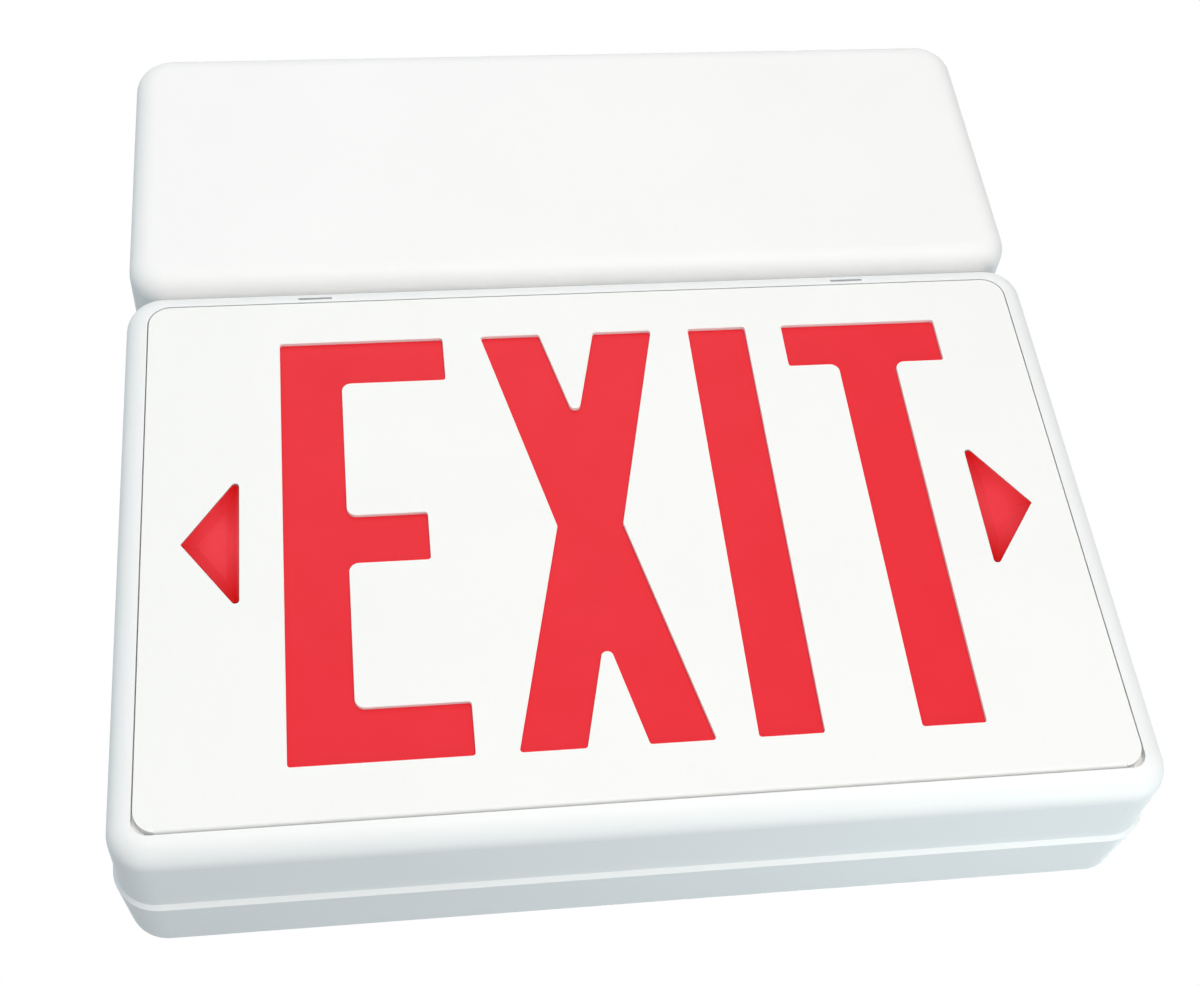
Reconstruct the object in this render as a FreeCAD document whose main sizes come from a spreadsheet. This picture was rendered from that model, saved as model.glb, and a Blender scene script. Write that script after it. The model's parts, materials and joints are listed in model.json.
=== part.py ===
"""Emergency exit light: a stencil sign with red letters and chevrons, and a battery housing above it.

Frame: the origin is the centre of the cable entry in the sign's back, on the wall. +X is to the
right as the sign is read, +Z is up, and the wall is on the +Y side, so the face looks along -Y.
Depths are measured from the wall towards the reader, so a depth d lies at Y = -d.
"""
import FreeCAD, Part
import math
import os
import Sketcher
from FreeCAD import Placement, Rotation, Vector

# ---------------------------------------------------------------------------------------------
# Sizes in mm. Each one is a cell of the sheet, and everything below is bound to these cells.
# ---------------------------------------------------------------------------------------------
SIZES = [
    # name, value, what it is
    ("sign_width", 306.0, "across the rim of the back housing"),
    ("sign_height", 205.0, "over the rim of the back housing"),
    ("sign_depth", 58.0, "wall to face"),
    ("parting_depth", 28.0, "wall to the joint between the two housings"),
    ("rim_step", 1.4, "how far the back housing's rim stands proud of the front"),
    ("back_taper", 2.0, "how far the back housing draws in on each side at the wall"),
    ("corner_radius", 12.0, "housing corners, seen from the front"),
    ("edge_radius", 8.0, "rolled edge round the face"),
    ("back_edge_radius", 3.0, "edge that meets the wall"),
    ("wall", 2.5, "moulded wall"),
    ("face_wall", 5.0, "front ring, recess and ledge together"),
    ("lip_thickness", 1.2, "locating lip at the joint"),
    ("lip_height", 2.5, "how deep the lip goes"),
    ("lip_gap", 0.15, "clearance round the lip"),
    ("ring_width", 7.5, "face ring round the recess that holds the stencil panel"),
    ("panel_thickness", 2.4, "stencil panel"),
    ("panel_corner", 7.0, "stencil panel corners"),
    ("panel_gap", 0.45, "gap round the stencil panel"),
    ("seat_gap", 0.2, "panel to ledge"),
    ("ledge_width", 4.5, "ledge behind the panel's edge"),
    ("pivot_relief", 0.4, "extra depth of the ledge below the pivot"),
    ("pivot_gap", 0.6, "gap under the stencil panel, where it pivots"),
    ("pivot_corner", 4.6, "recess's lower corners, clear of the panel as it swings"),
    ("latch_inset", 53.65, "snap tongues and hook arms, from the panel's ends"),
    ("latch_width", 10.0, "snap tongue and hook arm"),
    ("tongue_length", 6.5, "snap tongue behind the panel"),
    ("tongue_thickness", 1.6, "snap tongue"),
    ("tongue_drop", 1.65, "panel's top edge down to the tongue"),
    ("catch_height", 0.5, "ridge on the tongue"),
    ("pry_width", 11.0, "screwdriver slot in the ring, above each snap tongue"),
    ("pry_height", 1.1, "screwdriver slot"),
    ("pry_rise", 1.3, "recess's top edge up to the screwdriver slot"),
    ("hook_inner", 4.8, "hook arm's inner radius round the pivot"),
    ("hook_outer", 6.4, "hook arm's outer radius round the pivot"),
    ("hook_start", 75, "hook arm's first end, in degrees round the pivot"),
    ("hook_sweep", 97, "hook arm, in degrees round the pivot"),
    ("letter_height", 152.4, "six inch letters"),
    ("stroke", 19.4, "three quarter inch upright strokes"),
    ("bar_height", 17.4, "level strokes"),
    ("letter_gap", 12.25, "between letters"),
    ("word_left", 41.8, "panel's left end to the word"),
    ("word_right", 27.3, "word to the panel's right end"),
    ("middle_bar_less", 8.7, "E's middle bar shorter than its other bars"),
    ("middle_bar_drop", 1.0, "E's middle bar below the letter's middle"),
    ("x_extra", 4.2, "X wider than E and T"),
    ("waist_width", 20.4, "X at its crossing"),
    ("crotch_depth", 37.0, "X, from the end of the letter to the point of its inner notch"),
    ("inner_round", 3.0, "inside corners of the letters"),
    ("outer_round", 1.0, "outside corners of the letters"),
    ("crotch_round", 1.8, "X, inner notches"),
    ("arrow_margin", 11.45, "chevron's tip to the panel's end"),
    ("arrow_length", 17.35, "chevron, upright edge to tip"),
    ("arrow_height", 48.4, "chevron"),
    ("arrow_round", 1.2, "chevron corners"),
    ("cup_gap", 0.15, "chevron lens in its cut-out"),
    ("cup_wall", 1.0, "chevron lens's flange"),
    ("cup_depth", 4.0, "chevron lens, front to back"),
    ("dish_rim", 0.6, "flat edge round the hollow in its front"),
    ("dish_depth", 1.4, "hollow in the front of the chevron lens"),
    ("dish_slope", 65.0, "its sides, in degrees from the depth"),
    ("cup_flange", 2.6, "chevron lens flange behind the panel"),
    ("letter_wall", 1.2, "stencil round the letters, where its back is let in for the lens"),
    ("lens_thickness", 1.5, "letter lens"),
    ("lens_edge_gap", 0.3, "round the lens in the stencil's back"),
    ("lens_gap", 0.1, "panel to lens"),
    ("lens_margin", 5.0, "letter lens beyond the word's ends"),
    ("lens_clear", 5.0, "letter lens inside the ledge's window"),
    ("stake_radius", 1.5, "pins that hold the letter lens"),
    ("stake_gap", 0.2, "lens hole round a pin"),
    ("stake_height", 1.0, "pin beyond the lens"),
    ("post_inset", 6.8, "housing screws, from the inside of the walls"),
    ("back_post_radius", 5.2, "screw post in the back housing"),
    ("front_post_radius", 4.0, "screw post in the front housing"),
    ("screw_radius", 1.75, "self-tapping screw"),
    ("screw_head_radius", 3.4, "self-tapping screw"),
    ("screw_head_height", 2.2, "self-tapping screw"),
    ("screw_reach", 12.0, "housing screw beyond the joint"),
    ("pilot_gap", 0.05, "pilot hole round a screw"),
    ("hole_gap", 0.35, "clearance hole round a screw"),
    ("counterbore_depth", 6.0, "housing screw, wall to the underside of its head"),
    ("entry_radius", 11.1, "cable entry, for a half inch fitting"),
    ("box_screw_spacing", 88.9, "screws of a four inch junction box"),
    ("box_screw_radius", 2.4, "holes for the junction box screws"),
    ("keyhole_spacing", 203.2, "wall keyholes"),
    ("keyhole_height", 55.0, "sign's keyholes above the middle"),
    ("keyhole_head", 4.5, "keyhole, radius that the screw's head passes"),
    ("keyhole_slot", 2.4, "keyhole, radius of the slot's end"),
    ("keyhole_travel", 9.0, "keyhole, head circle to the slot's end"),
    ("reflector_depth", 12.0, "wall to the back of the reflector"),
    ("reflector_height", 17.0, "reflector's slanted sides"),
    ("reflector_end_gap", 14.1, "reflector's rim to the inside of the end walls"),
    ("reflector_board_gap", 9.0, "reflector's rim to the LED boards"),
    ("reflector_slant", 45.0, "reflector sides, degrees"),
    ("reflector_wall", 1.2, "reflector"),
    ("board_end_gap", 33.1, "LED board to the inside of the end walls"),
    ("board_width", 12.0, "LED board"),
    ("board_thickness", 1.6, "every circuit board"),
    ("board_depth", 34.0, "wall to the LED board's back edge"),
    ("board_inset", 12.6, "LED board's inner face, from the inside of the wall"),
    ("rib_thickness", 3.0, "ribs inside the housing"),
    ("slot_gap", 0.1, "rib slot round a board"),
    ("led_radius", 2.5, "LED"),
    ("led_height", 6.0, "LED"),
    ("led_count", 8, "LEDs on a board"),
    ("led_end", 18.0, "first LED from the board's end"),
    ("cover_height", 112.5, "battery housing"),
    ("cover_corner", 13.0, "battery housing corners"),
    ("sheet", 1.5, "folded steel pan"),
    ("bend_radius", 1.5, "inside of the folds"),
    ("pan_gap", 0.3, "pan to cover"),
    ("lower_flange", 31.0, "pan's lower flange, from the wall"),
    ("upper_flange", 12.0, "pan's upper flange, from the wall"),
    ("tab_length", 14.0, "pan's end tabs, from the wall"),
    ("tab_width", 24.0, "pan's end tabs"),
    ("cover_screw_depth", 8.5, "wall to the cover screws"),
    ("cover_screw_length", 7.0, "cover screw under its head"),
    ("nipple_offset", 60.0, "nipples, from the middle"),
    ("nipple_depth", 16.0, "wall to the nipples"),
    ("nipple_radius", 8.5, "nipple"),
    ("nipple_bore", 6.8, "nipple"),
    ("nipple_gap", 0.3, "hole round a nipple"),
    ("nipple_overhang", 2.0, "nipple beyond its locknut"),
    ("locknut_flats", 22.0, "locknut across its flats"),
    ("locknut_height", 4.0, "locknut"),
    ("thread_gap", 0.03, "locknut round the nipple"),
    ("washer_radius", 12.0, "spacer washer and the seat under it"),
    ("cell_radius", 11.5, "battery cell"),
    ("cell_length", 43.0, "battery cell"),
    ("cell_count", 3, "battery cells side by side"),
    ("pan_end_gap", 1.9, "pan's end tab to the battery strap"),
    ("cell_gap", 0.4, "pan to cells, and cells to strap"),
    ("strap_width", 16.0, "battery strap"),
    ("strap_foot", 11.0, "battery strap"),
    ("core_leg", 8.0, "transformer core's outer legs and yokes; its middle leg is twice that"),
    ("core_window_width", 9.0, "each window of the core"),
    ("core_window_length", 26.0, "each window of the core"),
    ("core_stack", 18.0, "the core's laminations together"),
    ("core_drop", 12.0, "transformer below the battery housing's middle"),
    ("coil_gap", 0.3, "coil round the middle leg and inside the windows"),
    ("coil_overhang", 7.0, "coil beyond the stack at each side"),
    ("circuit_width", 100.0, "charger board"),
    ("circuit_height", 72.0, "charger board"),
    ("circuit_end_gap", 8.8, "charger board to the pan's end"),
    ("standoff_height", 8.0, "charger board above the pan"),
    ("standoff_radius", 3.0, "standoff"),
    ("standoff_inset", 5.0, "standoffs from the board's edges"),
    ("board_screw_reach", 5.0, "board screw below the board"),
    ("part_gap", 4.0, "between the parts on the charger board"),
    ("relay_width", 15.2, "relay"),
    ("relay_height", 19.0, "relay"),
    ("relay_depth", 15.0, "relay"),
    ("capacitor_radius", 5.0, "capacitor"),
    ("capacitor_length", 16.0, "capacitor"),
    ("terminal_width", 30.0, "terminal block"),
    ("terminal_height", 10.0, "terminal block"),
    ("terminal_depth", 11.0, "terminal block"),
    ("terminal_ways", 6, "wire holes of the terminal block"),
    ("terminal_hole", 1.6, "wire hole of the terminal block, radius"),
    ("sink_width", 14.0, "heat sink"),
    ("sink_height", 24.0, "heat sink"),
    ("sink_depth", 13.0, "heat sink"),
    ("fuse_radius", 2.6, "fuse"),
    ("fuse_length", 20.0, "fuse"),
    ("clip_length", 5.0, "fuse clip"),
    ("button_z", 14.0, "test button below the battery housing's middle"),
    ("lamp_z", 14.0, "charge lamp above the battery housing's middle"),
    ("button_radius", 3.4, "test button"),
    ("button_flange", 5.2, "test button's shoulder"),
    ("button_proud", 2.4, "test button beyond the cover"),
    ("button_travel", 1.8, "test button"),
    ("switch_length", 14.0, "test switch"),
    ("switch_side", 15.0, "test switch"),
    ("button_gap", 0.3, "hole round the test button"),
    ("button_depth", 20.0, "wall to the test button's axis"),
    ("spring_wire", 0.3, "test button's spring, wire radius"),
    ("spring_gap", 0.1, "spring to the switch and to the button's shoulder"),
    ("spring_turns", 4, "test button's spring"),
    ("lamp_radius", 2.5, "charge lamp"),
    ("bezel_radius", 4.4, "charge lamp's bezel"),
]


class Size:
    """A length that carries both its number and the sheet formula that gives it."""

    def __init__(self, number, formula):
        self.number = number
        self.formula = formula

    @staticmethod
    def of(other):
        return other if isinstance(other, Size) else Size(other, f"({other})")

    def __add__(self, other):
        other = Size.of(other)
        return Size(self.number + other.number, f"({self.formula} + {other.formula})")

    def __sub__(self, other):
        other = Size.of(other)
        return Size(self.number - other.number, f"({self.formula} - {other.formula})")

    def __mul__(self, other):
        other = Size.of(other)
        return Size(self.number * other.number, f"({self.formula} * {other.formula})")

    def __truediv__(self, other):
        other = Size.of(other)
        return Size(self.number / other.number, f"({self.formula} / {other.formula})")

    def __radd__(self, other):
        return Size.of(other) + self

    def __rsub__(self, other):
        return Size.of(other) - self

    def __rmul__(self, other):
        return Size.of(other) * self

    def __neg__(self):
        return self * -1

    def root(self):
        return Size(math.sqrt(self.number), f"sqrt({self.formula})")

    def tangent(self):
        """The tangent of a size that is an angle in degrees."""
        return Size(math.tan(math.radians(self.number)), f"tan({self.formula})")


class Sheet:
    """The spreadsheet of driving sizes, each one read as an attribute."""

    def __init__(self, document):
        self.cells = document.addObject("Spreadsheet::Sheet", "Sizes")
        for row, (name, value, meaning) in enumerate(SIZES, 1):
            self.cells.set(f"A{row}", name)
            self.cells.set(f"B{row}", str(value))
            self.cells.setAlias(f"B{row}", name)
            self.cells.set(f"C{row}", meaning)
            setattr(self, name, Size(value, f"Sizes.{name}"))


doc = FreeCAD.newDocument("exit_light")
size = Sheet(doc)
doc.recompute()
ZERO = Size(0.0, "0")

# ---------------------------------------------------------------------------------------------
# Sizes that follow from the ones above
# ---------------------------------------------------------------------------------------------
front_width = size.sign_width - 2 * size.rim_step
front_height = size.sign_height - 2 * size.rim_step
inside_width = front_width - 2 * size.wall
inside_height = front_height - 2 * size.wall
panel_back = size.sign_depth - size.panel_thickness
ledge_face = panel_back - size.seat_gap
front_wall_back = size.sign_depth - size.face_wall
lens_face = size.sign_depth - size.letter_wall - size.lens_gap
lens_back = lens_face - size.lens_thickness
recess_width = front_width - 2 * size.ring_width
recess_height = front_height - 2 * size.ring_width
panel_width = recess_width - 2 * size.panel_gap
panel_height = recess_height - 2 * size.panel_gap
window_width = panel_width - 2 * size.ledge_width
window_height = panel_height - 2 * size.ledge_width
latch_offset = panel_width / 2 - size.latch_inset
pivot_depth = size.sign_depth - size.panel_thickness / 2
pivot_z = size.panel_thickness / 2 - panel_height / 2
pivot_half = panel_width / 2 - size.panel_corner + size.panel_thickness / 2

box_bottom = size.sign_height / 2
box_top = box_bottom + size.cover_height
box_middle = box_bottom + size.cover_height / 2
pan_bottom = box_bottom + size.wall + size.pan_gap
pan_top = box_top - size.wall - size.pan_gap
cover_width = front_width
cover_inside = cover_width / 2 - size.wall
pan_half = cover_inside - size.pan_gap
switch_right = cover_inside - 2 * size.button_flange

board_offset = inside_height / 2 - size.board_inset
board_length = inside_width - 2 * size.board_end_gap
led_spacing = (board_length - 2 * size.led_end) / (size.led_count - 1)
board_rib_offset = (size.led_count / 2 - 1) * led_spacing
slant_run = size.reflector_height * size.reflector_slant.tangent()
tray_width = inside_width - 2 * (size.reflector_end_gap + slant_run)
tray_height = 2 * (board_offset - size.reflector_board_gap - slant_run)

battery_half = size.cell_count * size.cell_radius + size.cell_gap
strap_half = battery_half + size.sheet + size.strap_foot
battery_x = strap_half + size.pan_end_gap + size.sheet - pan_half
circuit_x = pan_half - size.circuit_end_gap - size.circuit_width / 2
core_x = (battery_x + strap_half + circuit_x - size.circuit_width / 2) / 2
core_z = box_middle - size.core_drop
core_width = 2 * (size.core_leg + size.core_window_width + size.core_leg)
core_height = 2 * size.core_leg + size.core_window_length

word_width = panel_width - size.word_left - size.word_right
e_width = (word_width - 3 * size.letter_gap - size.stroke - size.x_extra) / 3
x_width = e_width + size.x_extra
e_left = size.word_left - panel_width / 2
x_left = e_left + e_width + size.letter_gap
i_left = x_left + x_width + size.letter_gap
t_left = i_left + size.stroke + size.letter_gap
t_right = t_left + e_width
x_middle = x_left + x_width / 2
t_stem_left = t_left + e_width / 2 - size.stroke / 2
cap = size.letter_height / 2
arrow_edge = panel_width / 2 - size.arrow_margin - size.arrow_length


# ---------------------------------------------------------------------------------------------
# Ways to make things
# ---------------------------------------------------------------------------------------------
def bind(thing, name, length):
    """Ties one property to a sheet formula."""
    thing.setExpression(name, Size.of(length).formula)


def place(thing, x, depth, z, turn=None):
    """Puts an object at x, depth from the wall, and height, each tied to the sheet."""
    if turn is not None:
        thing.Placement = Placement(Vector(0, 0, 0), turn)
    bind(thing, "Placement.Base.x", x)
    bind(thing, "Placement.Base.y", -Size.of(depth))
    bind(thing, "Placement.Base.z", z)


def new_body(name):
    body = doc.addObject("PartDesign::Body", name)
    body.Label = name
    return body


def new_sketch(body, name, level, role="XZ_Plane"):
    """A sketch on one of the body's own planes, raised by level along the plane's normal."""
    sketch = body.newObject("Sketcher::SketchObject", name)
    plane = next(part for part in body.Origin.OriginFeatures if part.Role == role)
    sketch.AttachmentSupport = (plane, [""])
    sketch.MapMode = "FlatFace"
    bind(sketch, "AttachmentOffset.Base.z", level)
    return sketch


def tie(sketch, kind, *where):
    """Adds a constraint whose last argument is a size bound to the sheet."""
    length = Size.of(where[-1])
    index = sketch.addConstraint(Sketcher.Constraint(kind, *where[:-1], length.number))
    sketch.setExpression(f"Constraints[{index}]", length.formula)


def draw_polygon(sketch, points):
    """Straight lines through the points, whose two coordinates are each tied to the sheet."""
    first = sketch.GeometryCount
    points = [(Size.of(x), Size.of(z)) for x, z in points]
    count = len(points)
    ends = [Vector(x.number, z.number, 0) for x, z in points]
    for i in range(count):
        sketch.addGeometry(Part.LineSegment(ends[i], ends[(i + 1) % count]))
    for i in range(count):
        sketch.addConstraint(Sketcher.Constraint("Coincident", first + i, 2, first + (i + 1) % count, 1))
    for i, (x, z) in enumerate(points):
        tie(sketch, "DistanceX", -1, 1, first + i, 1, x)
        tie(sketch, "DistanceY", -1, 1, first + i, 1, z)


def draw_rectangle(sketch, left, bottom, right, top):
    draw_polygon(sketch, [(left, bottom), (right, bottom), (right, top), (left, top)])


def draw_rounded(sketch, width, height, radius, middle=ZERO):
    """A rectangle with round corners, centred on x = 0 and z = middle."""
    first = sketch.GeometryCount
    left, right = -width / 2, width / 2
    bottom, top = middle - height / 2, middle + height / 2
    r = radius.number
    x0, x1, z0, z1 = left.number, right.number, bottom.number, top.number
    lines = [((x0 + r, z0), (x1 - r, z0)), ((x1, z0 + r), (x1, z1 - r)),
             ((x1 - r, z1), (x0 + r, z1)), ((x0, z1 - r), (x0, z0 + r))]
    centres = [(x1 - r, z0 + r), (x1 - r, z1 - r), (x0 + r, z1 - r), (x0 + r, z0 + r)]
    for i, (line, centre) in enumerate(zip(lines, centres)):
        sketch.addGeometry(Part.LineSegment(Vector(*line[0], 0), Vector(*line[1], 0)))
        circle = Part.Circle(Vector(*centre, 0), Vector(0, 0, 1), r)
        start = (i - 1) * math.pi / 2
        sketch.addGeometry(Part.ArcOfCircle(circle, start, start + math.pi / 2))
    for i in range(8):
        sketch.addConstraint(Sketcher.Constraint("Tangent", first + i, 2, first + (i + 1) % 8, 1))
    for i, kind in enumerate(("Horizontal", "Vertical", "Horizontal", "Vertical")):
        sketch.addConstraint(Sketcher.Constraint(kind, first + 2 * i))
    for i in (3, 5, 7):
        sketch.addConstraint(Sketcher.Constraint("Equal", first + 1, first + i))
    tie(sketch, "Radius", first + 1, radius)
    tie(sketch, "DistanceY", -1, 1, first, 1, bottom)
    tie(sketch, "DistanceX", -1, 1, first + 2, 1, right)
    tie(sketch, "DistanceY", -1, 1, first + 4, 1, top)
    tie(sketch, "DistanceX", -1, 1, first + 6, 1, left)


def draw_circle(sketch, x, z, radius):
    x, z = Size.of(x), Size.of(z)
    centre = Vector(x.number, z.number, 0)
    index = sketch.addGeometry(Part.Circle(centre, Vector(0, 0, 1), radius.number))
    tie(sketch, "Radius", index, radius)
    tie(sketch, "DistanceX", -1, 1, index, 3, x)
    tie(sketch, "DistanceY", -1, 1, index, 3, z)


def volume_of(body):
    return body.Tip.Shape.Volume if body.Tip else 0.0


def add_pad(body, sketch, length, reverse=False, taper=None):
    before = volume_of(body)
    pad = body.newObject("PartDesign::Pad", sketch.Name + "_pad")
    pad.Profile = sketch
    pad.Reversed = reverse
    bind(pad, "Length", length)
    if taper is not None:
        bind(pad, "TaperAngle", taper)
    doc.recompute()
    if volume_of(body) <= before:
        raise ValueError(f"{pad.Name} adds nothing")
    return pad


def add_pocket(body, sketch, length, reverse=False, taper=None):
    """Cuts along the sketch's negative normal, which is towards the wall, unless reversed."""
    before = volume_of(body)
    pocket = body.newObject("PartDesign::Pocket", sketch.Name + "_pocket")
    pocket.Profile = sketch
    pocket.Reversed = reverse
    bind(pocket, "Length", length)
    if taper is not None:
        bind(pocket, "TaperAngle", taper)
    doc.recompute()
    if volume_of(body) >= before:
        raise ValueError(f"{pocket.Name} cuts nothing")
    return pocket


def add_rounding(body, name, radius, chosen, kind="PartDesign::Fillet"):
    """A fillet, or a chamfer, on the edges for which chosen(edge) is true."""
    base = body.Tip
    edges = [f"Edge{i}" for i, edge in enumerate(base.Shape.Edges, 1) if chosen(edge)]
    if not edges:
        raise ValueError(f"{name} finds no edge")
    rounding = body.newObject(kind, name)
    rounding.Base = (base, edges)
    bind(rounding, "Size" if kind.endswith("Chamfer") else "Radius", radius)
    doc.recompute()
    return rounding


def near(value, length, slack=0.02):
    return abs(value - Size.of(length).number) < slack


def edge_at_depth(depth):
    """True for edges that lie wholly at one depth."""
    return lambda edge: near(-edge.BoundBox.YMin, depth) and near(-edge.BoundBox.YMax, depth)


def edge_along_depth(spots, slack=0.05):
    """True for straight edges that run along the depth at one of the (x, z) spots."""
    wanted = [(Size.of(x).number, Size.of(z).number) for x, z in spots]

    def chosen(edge):
        box = edge.BoundBox
        if box.XLength > slack or box.ZLength > slack:
            return False
        x, z = (box.XMin + box.XMax) / 2, (box.ZMin + box.ZMax) / 2
        return any(abs(x - a) < slack and abs(z - b) < slack for a, b in wanted)
    return chosen


AXES = {"X": Rotation(Vector(0, 1, 0), 90), "Y": Rotation(Vector(1, 0, 0), 90), "Z": Rotation()}


def block(name, x, depth, z, width, thickness, height):
    """A box from its low corner: x, depth nearest the wall, and z."""
    box = doc.addObject("Part::Box", name)
    bind(box, "Length", width)
    bind(box, "Width", thickness)
    bind(box, "Height", height)
    place(box, x, Size.of(depth) + thickness, z)
    return box


def rod(name, axis, x, depth, z, radius, length):
    """A cylinder from its start: along +X, along +Z, or along Y away from the wall."""
    cylinder = doc.addObject("Part::Cylinder", name)
    bind(cylinder, "Radius", radius)
    bind(cylinder, "Height", length)
    place(cylinder, x, depth, z, AXES[axis])
    return cylinder


def join(name, pieces):
    fusion = doc.addObject("Part::MultiFuse", name)
    fusion.Shapes = pieces
    return fusion


def subtract(name, base, tool):
    cut = doc.addObject("Part::Cut", name)
    cut.Base = base
    cut.Tool = tool
    return cut


def group(name, pieces):
    """Separate solids kept as one node."""
    compound = doc.addObject("Part::Compound", name)
    compound.Links = pieces
    return compound


# ---------------------------------------------------------------------------------------------
# The sign: two moulded housings, the stencil panel and what lights it
# ---------------------------------------------------------------------------------------------
LATCHES = [-latch_offset, latch_offset]


def corners(half_width, half_height):
    return [(side * half_width, end * half_height) for side in (-1, 1) for end in (-1, 1)]


POSTS = corners(inside_width / 2 - size.post_inset, inside_height / 2 - size.post_inset)


def front_housing():
    """The bezel: a rolled ring whose recess takes the stencil, with a ledge behind and two pry slots."""
    body = new_body("front_housing")
    shell = new_sketch(body, "front_outline", size.parting_depth)
    draw_rounded(shell, front_width, front_height, size.corner_radius)
    add_pad(body, shell, size.sign_depth - size.parting_depth)
    add_rounding(body, "front_roll", size.edge_radius, edge_at_depth(size.sign_depth))

    hollow = new_sketch(body, "front_hollow", size.parting_depth)
    draw_rounded(hollow, inside_width, inside_height, size.corner_radius - size.wall)
    add_pocket(body, hollow, front_wall_back - size.parting_depth, reverse=True)

    recess = new_sketch(body, "panel_recess", size.sign_depth)
    draw_rounded(recess, recess_width, recess_height, size.panel_corner + size.panel_gap)
    add_pocket(body, recess, size.sign_depth - ledge_face)
    lower = new_sketch(body, "lower_recess", size.sign_depth)
    lower_height = (panel_height + size.pivot_gap) / 2
    draw_rounded(lower, recess_width, lower_height, size.pivot_corner, -(lower_height + size.pivot_gap) / 2)
    add_pocket(body, lower, size.sign_depth - ledge_face)

    relief = new_sketch(body, "pivot_relief", size.sign_depth)
    relief_half = recess_width / 2 - size.panel_corner / 2
    relief_top = pivot_z + size.panel_thickness / 2
    draw_rectangle(relief, -relief_half, size.panel_gap - recess_height / 2, relief_half, relief_top)
    add_pocket(body, relief, size.sign_depth - ledge_face + size.pivot_relief)

    window = new_sketch(body, "ledge_window", size.sign_depth)
    draw_rounded(window, window_width, window_height, size.panel_corner - size.ledge_width)
    add_pocket(body, window, size.face_wall)

    passages = new_sketch(body, "latch_passages", size.sign_depth)
    half = size.latch_width / 2 + size.catch_height
    tongue_top = panel_height / 2 - size.tongue_drop + size.catch_height
    for x in LATCHES:
        draw_rectangle(passages, x - half, window_height / 4, x + half, tongue_top + size.catch_height / 2)
        draw_rectangle(passages, x - half, pivot_z + size.panel_thickness / 2, x + half, -window_height / 4)
    add_pocket(body, passages, size.face_wall)
    slots = new_sketch(body, "pry_slots", size.sign_depth)
    half = size.pry_width / 2
    low = recess_height / 2 + size.pry_rise
    for x in LATCHES:
        draw_rectangle(slots, x - half, low, x + half, low + size.pry_height)
    add_pocket(body, slots, size.face_wall)

    lip = new_sketch(body, "front_lip", size.parting_depth)
    lip_radius = size.corner_radius - size.wall + size.lip_thickness
    reach = 2 * size.lip_thickness
    draw_rounded(lip, inside_width + reach, inside_height + reach, lip_radius)
    draw_rounded(lip, inside_width, inside_height, size.corner_radius - size.wall)
    add_pad(body, lip, size.lip_height, reverse=True)

    posts = new_sketch(body, "front_posts", size.parting_depth)
    for x, z in POSTS:
        draw_circle(posts, x, z, size.front_post_radius)
    add_pad(body, posts, front_wall_back - size.parting_depth)
    pilots = new_sketch(body, "front_pilots", size.parting_depth)
    for x, z in POSTS:
        draw_circle(pilots, x, z, size.screw_radius + size.pilot_gap)
    add_pocket(body, pilots, size.screw_reach + size.screw_radius, reverse=True)
    return body


def letter_outlines():
    """The closed outline of each letter of the word, as corner points."""
    stroke, bar = size.stroke, size.bar_height
    e_right = e_left + e_width
    e_stem = e_left + stroke
    e_middle = e_right - size.middle_bar_less
    low, high = -bar / 2 - size.middle_bar_drop, bar / 2 - size.middle_bar_drop
    letter_e = [(e_left, -cap), (e_right, -cap), (e_right, bar - cap), (e_stem, bar - cap),
                (e_stem, low), (e_middle, low), (e_middle, high), (e_stem, high),
                (e_stem, cap - bar), (e_right, cap - bar), (e_right, cap), (e_left, cap)]

    half, waist = x_width / 2, size.waist_width / 2
    notch = half - stroke
    point = cap - size.crotch_depth
    letter_x = [(x_middle - half, -cap), (x_middle - notch, -cap), (x_middle, -point),
                (x_middle + notch, -cap), (x_middle + half, -cap), (x_middle + waist, ZERO),
                (x_middle + half, cap), (x_middle + notch, cap), (x_middle, point),
                (x_middle - notch, cap), (x_middle - half, cap), (x_middle - waist, ZERO)]

    letter_i = [(i_left, -cap), (i_left + stroke, -cap), (i_left + stroke, cap), (i_left, cap)]

    stem_right = t_stem_left + stroke
    letter_t = [(t_stem_left, -cap), (stem_right, -cap), (stem_right, cap - bar), (t_right, cap - bar),
                (t_right, cap), (t_left, cap), (t_left, cap - bar), (t_stem_left, cap - bar)]
    return {"letter_e": letter_e, "letter_x": letter_x, "letter_i": letter_i, "letter_t": letter_t}


def inside_corners():
    """Where the stencil's letters turn inwards and are rounded more."""
    e_stem = e_left + size.stroke
    bar, drop = size.bar_height, size.middle_bar_drop
    spots = [(e_stem, z) for z in (bar - cap, -bar / 2 - drop, bar / 2 - drop, cap - bar)]
    spots += [(x, cap - size.bar_height) for x in (t_stem_left, t_stem_left + size.stroke)]
    return spots


def outside_corners():
    """The other corners of the stencil's letters, apart from the X's notches and waist."""
    inner = {(x.number, z.number) for x, z in inside_corners()}
    spots = []
    for name, points in letter_outlines().items():
        for x, z in points:
            at_end = near(abs(z.number), cap)
            if (x.number, Size.of(z).number) in inner or (name == "letter_x" and not at_end):
                continue
            spots.append((x, z))
    return spots


def arrow_points(side, inset=ZERO):
    """A chevron's three corners, drawn in by inset on every side; side is -1 or 1."""
    half = size.arrow_height / 2
    slope = half / size.arrow_length
    lean = (1 + slope * slope).root()
    half_inside = half - inset * slope - inset * lean
    length_inside = half_inside / slope
    edge = arrow_edge + inset
    tip = edge + length_inside
    if side > 0:
        return [(edge, -half_inside), (tip, ZERO), (edge, half_inside)]
    return [(-edge, half_inside), (-tip, ZERO), (-edge, -half_inside)]


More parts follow.
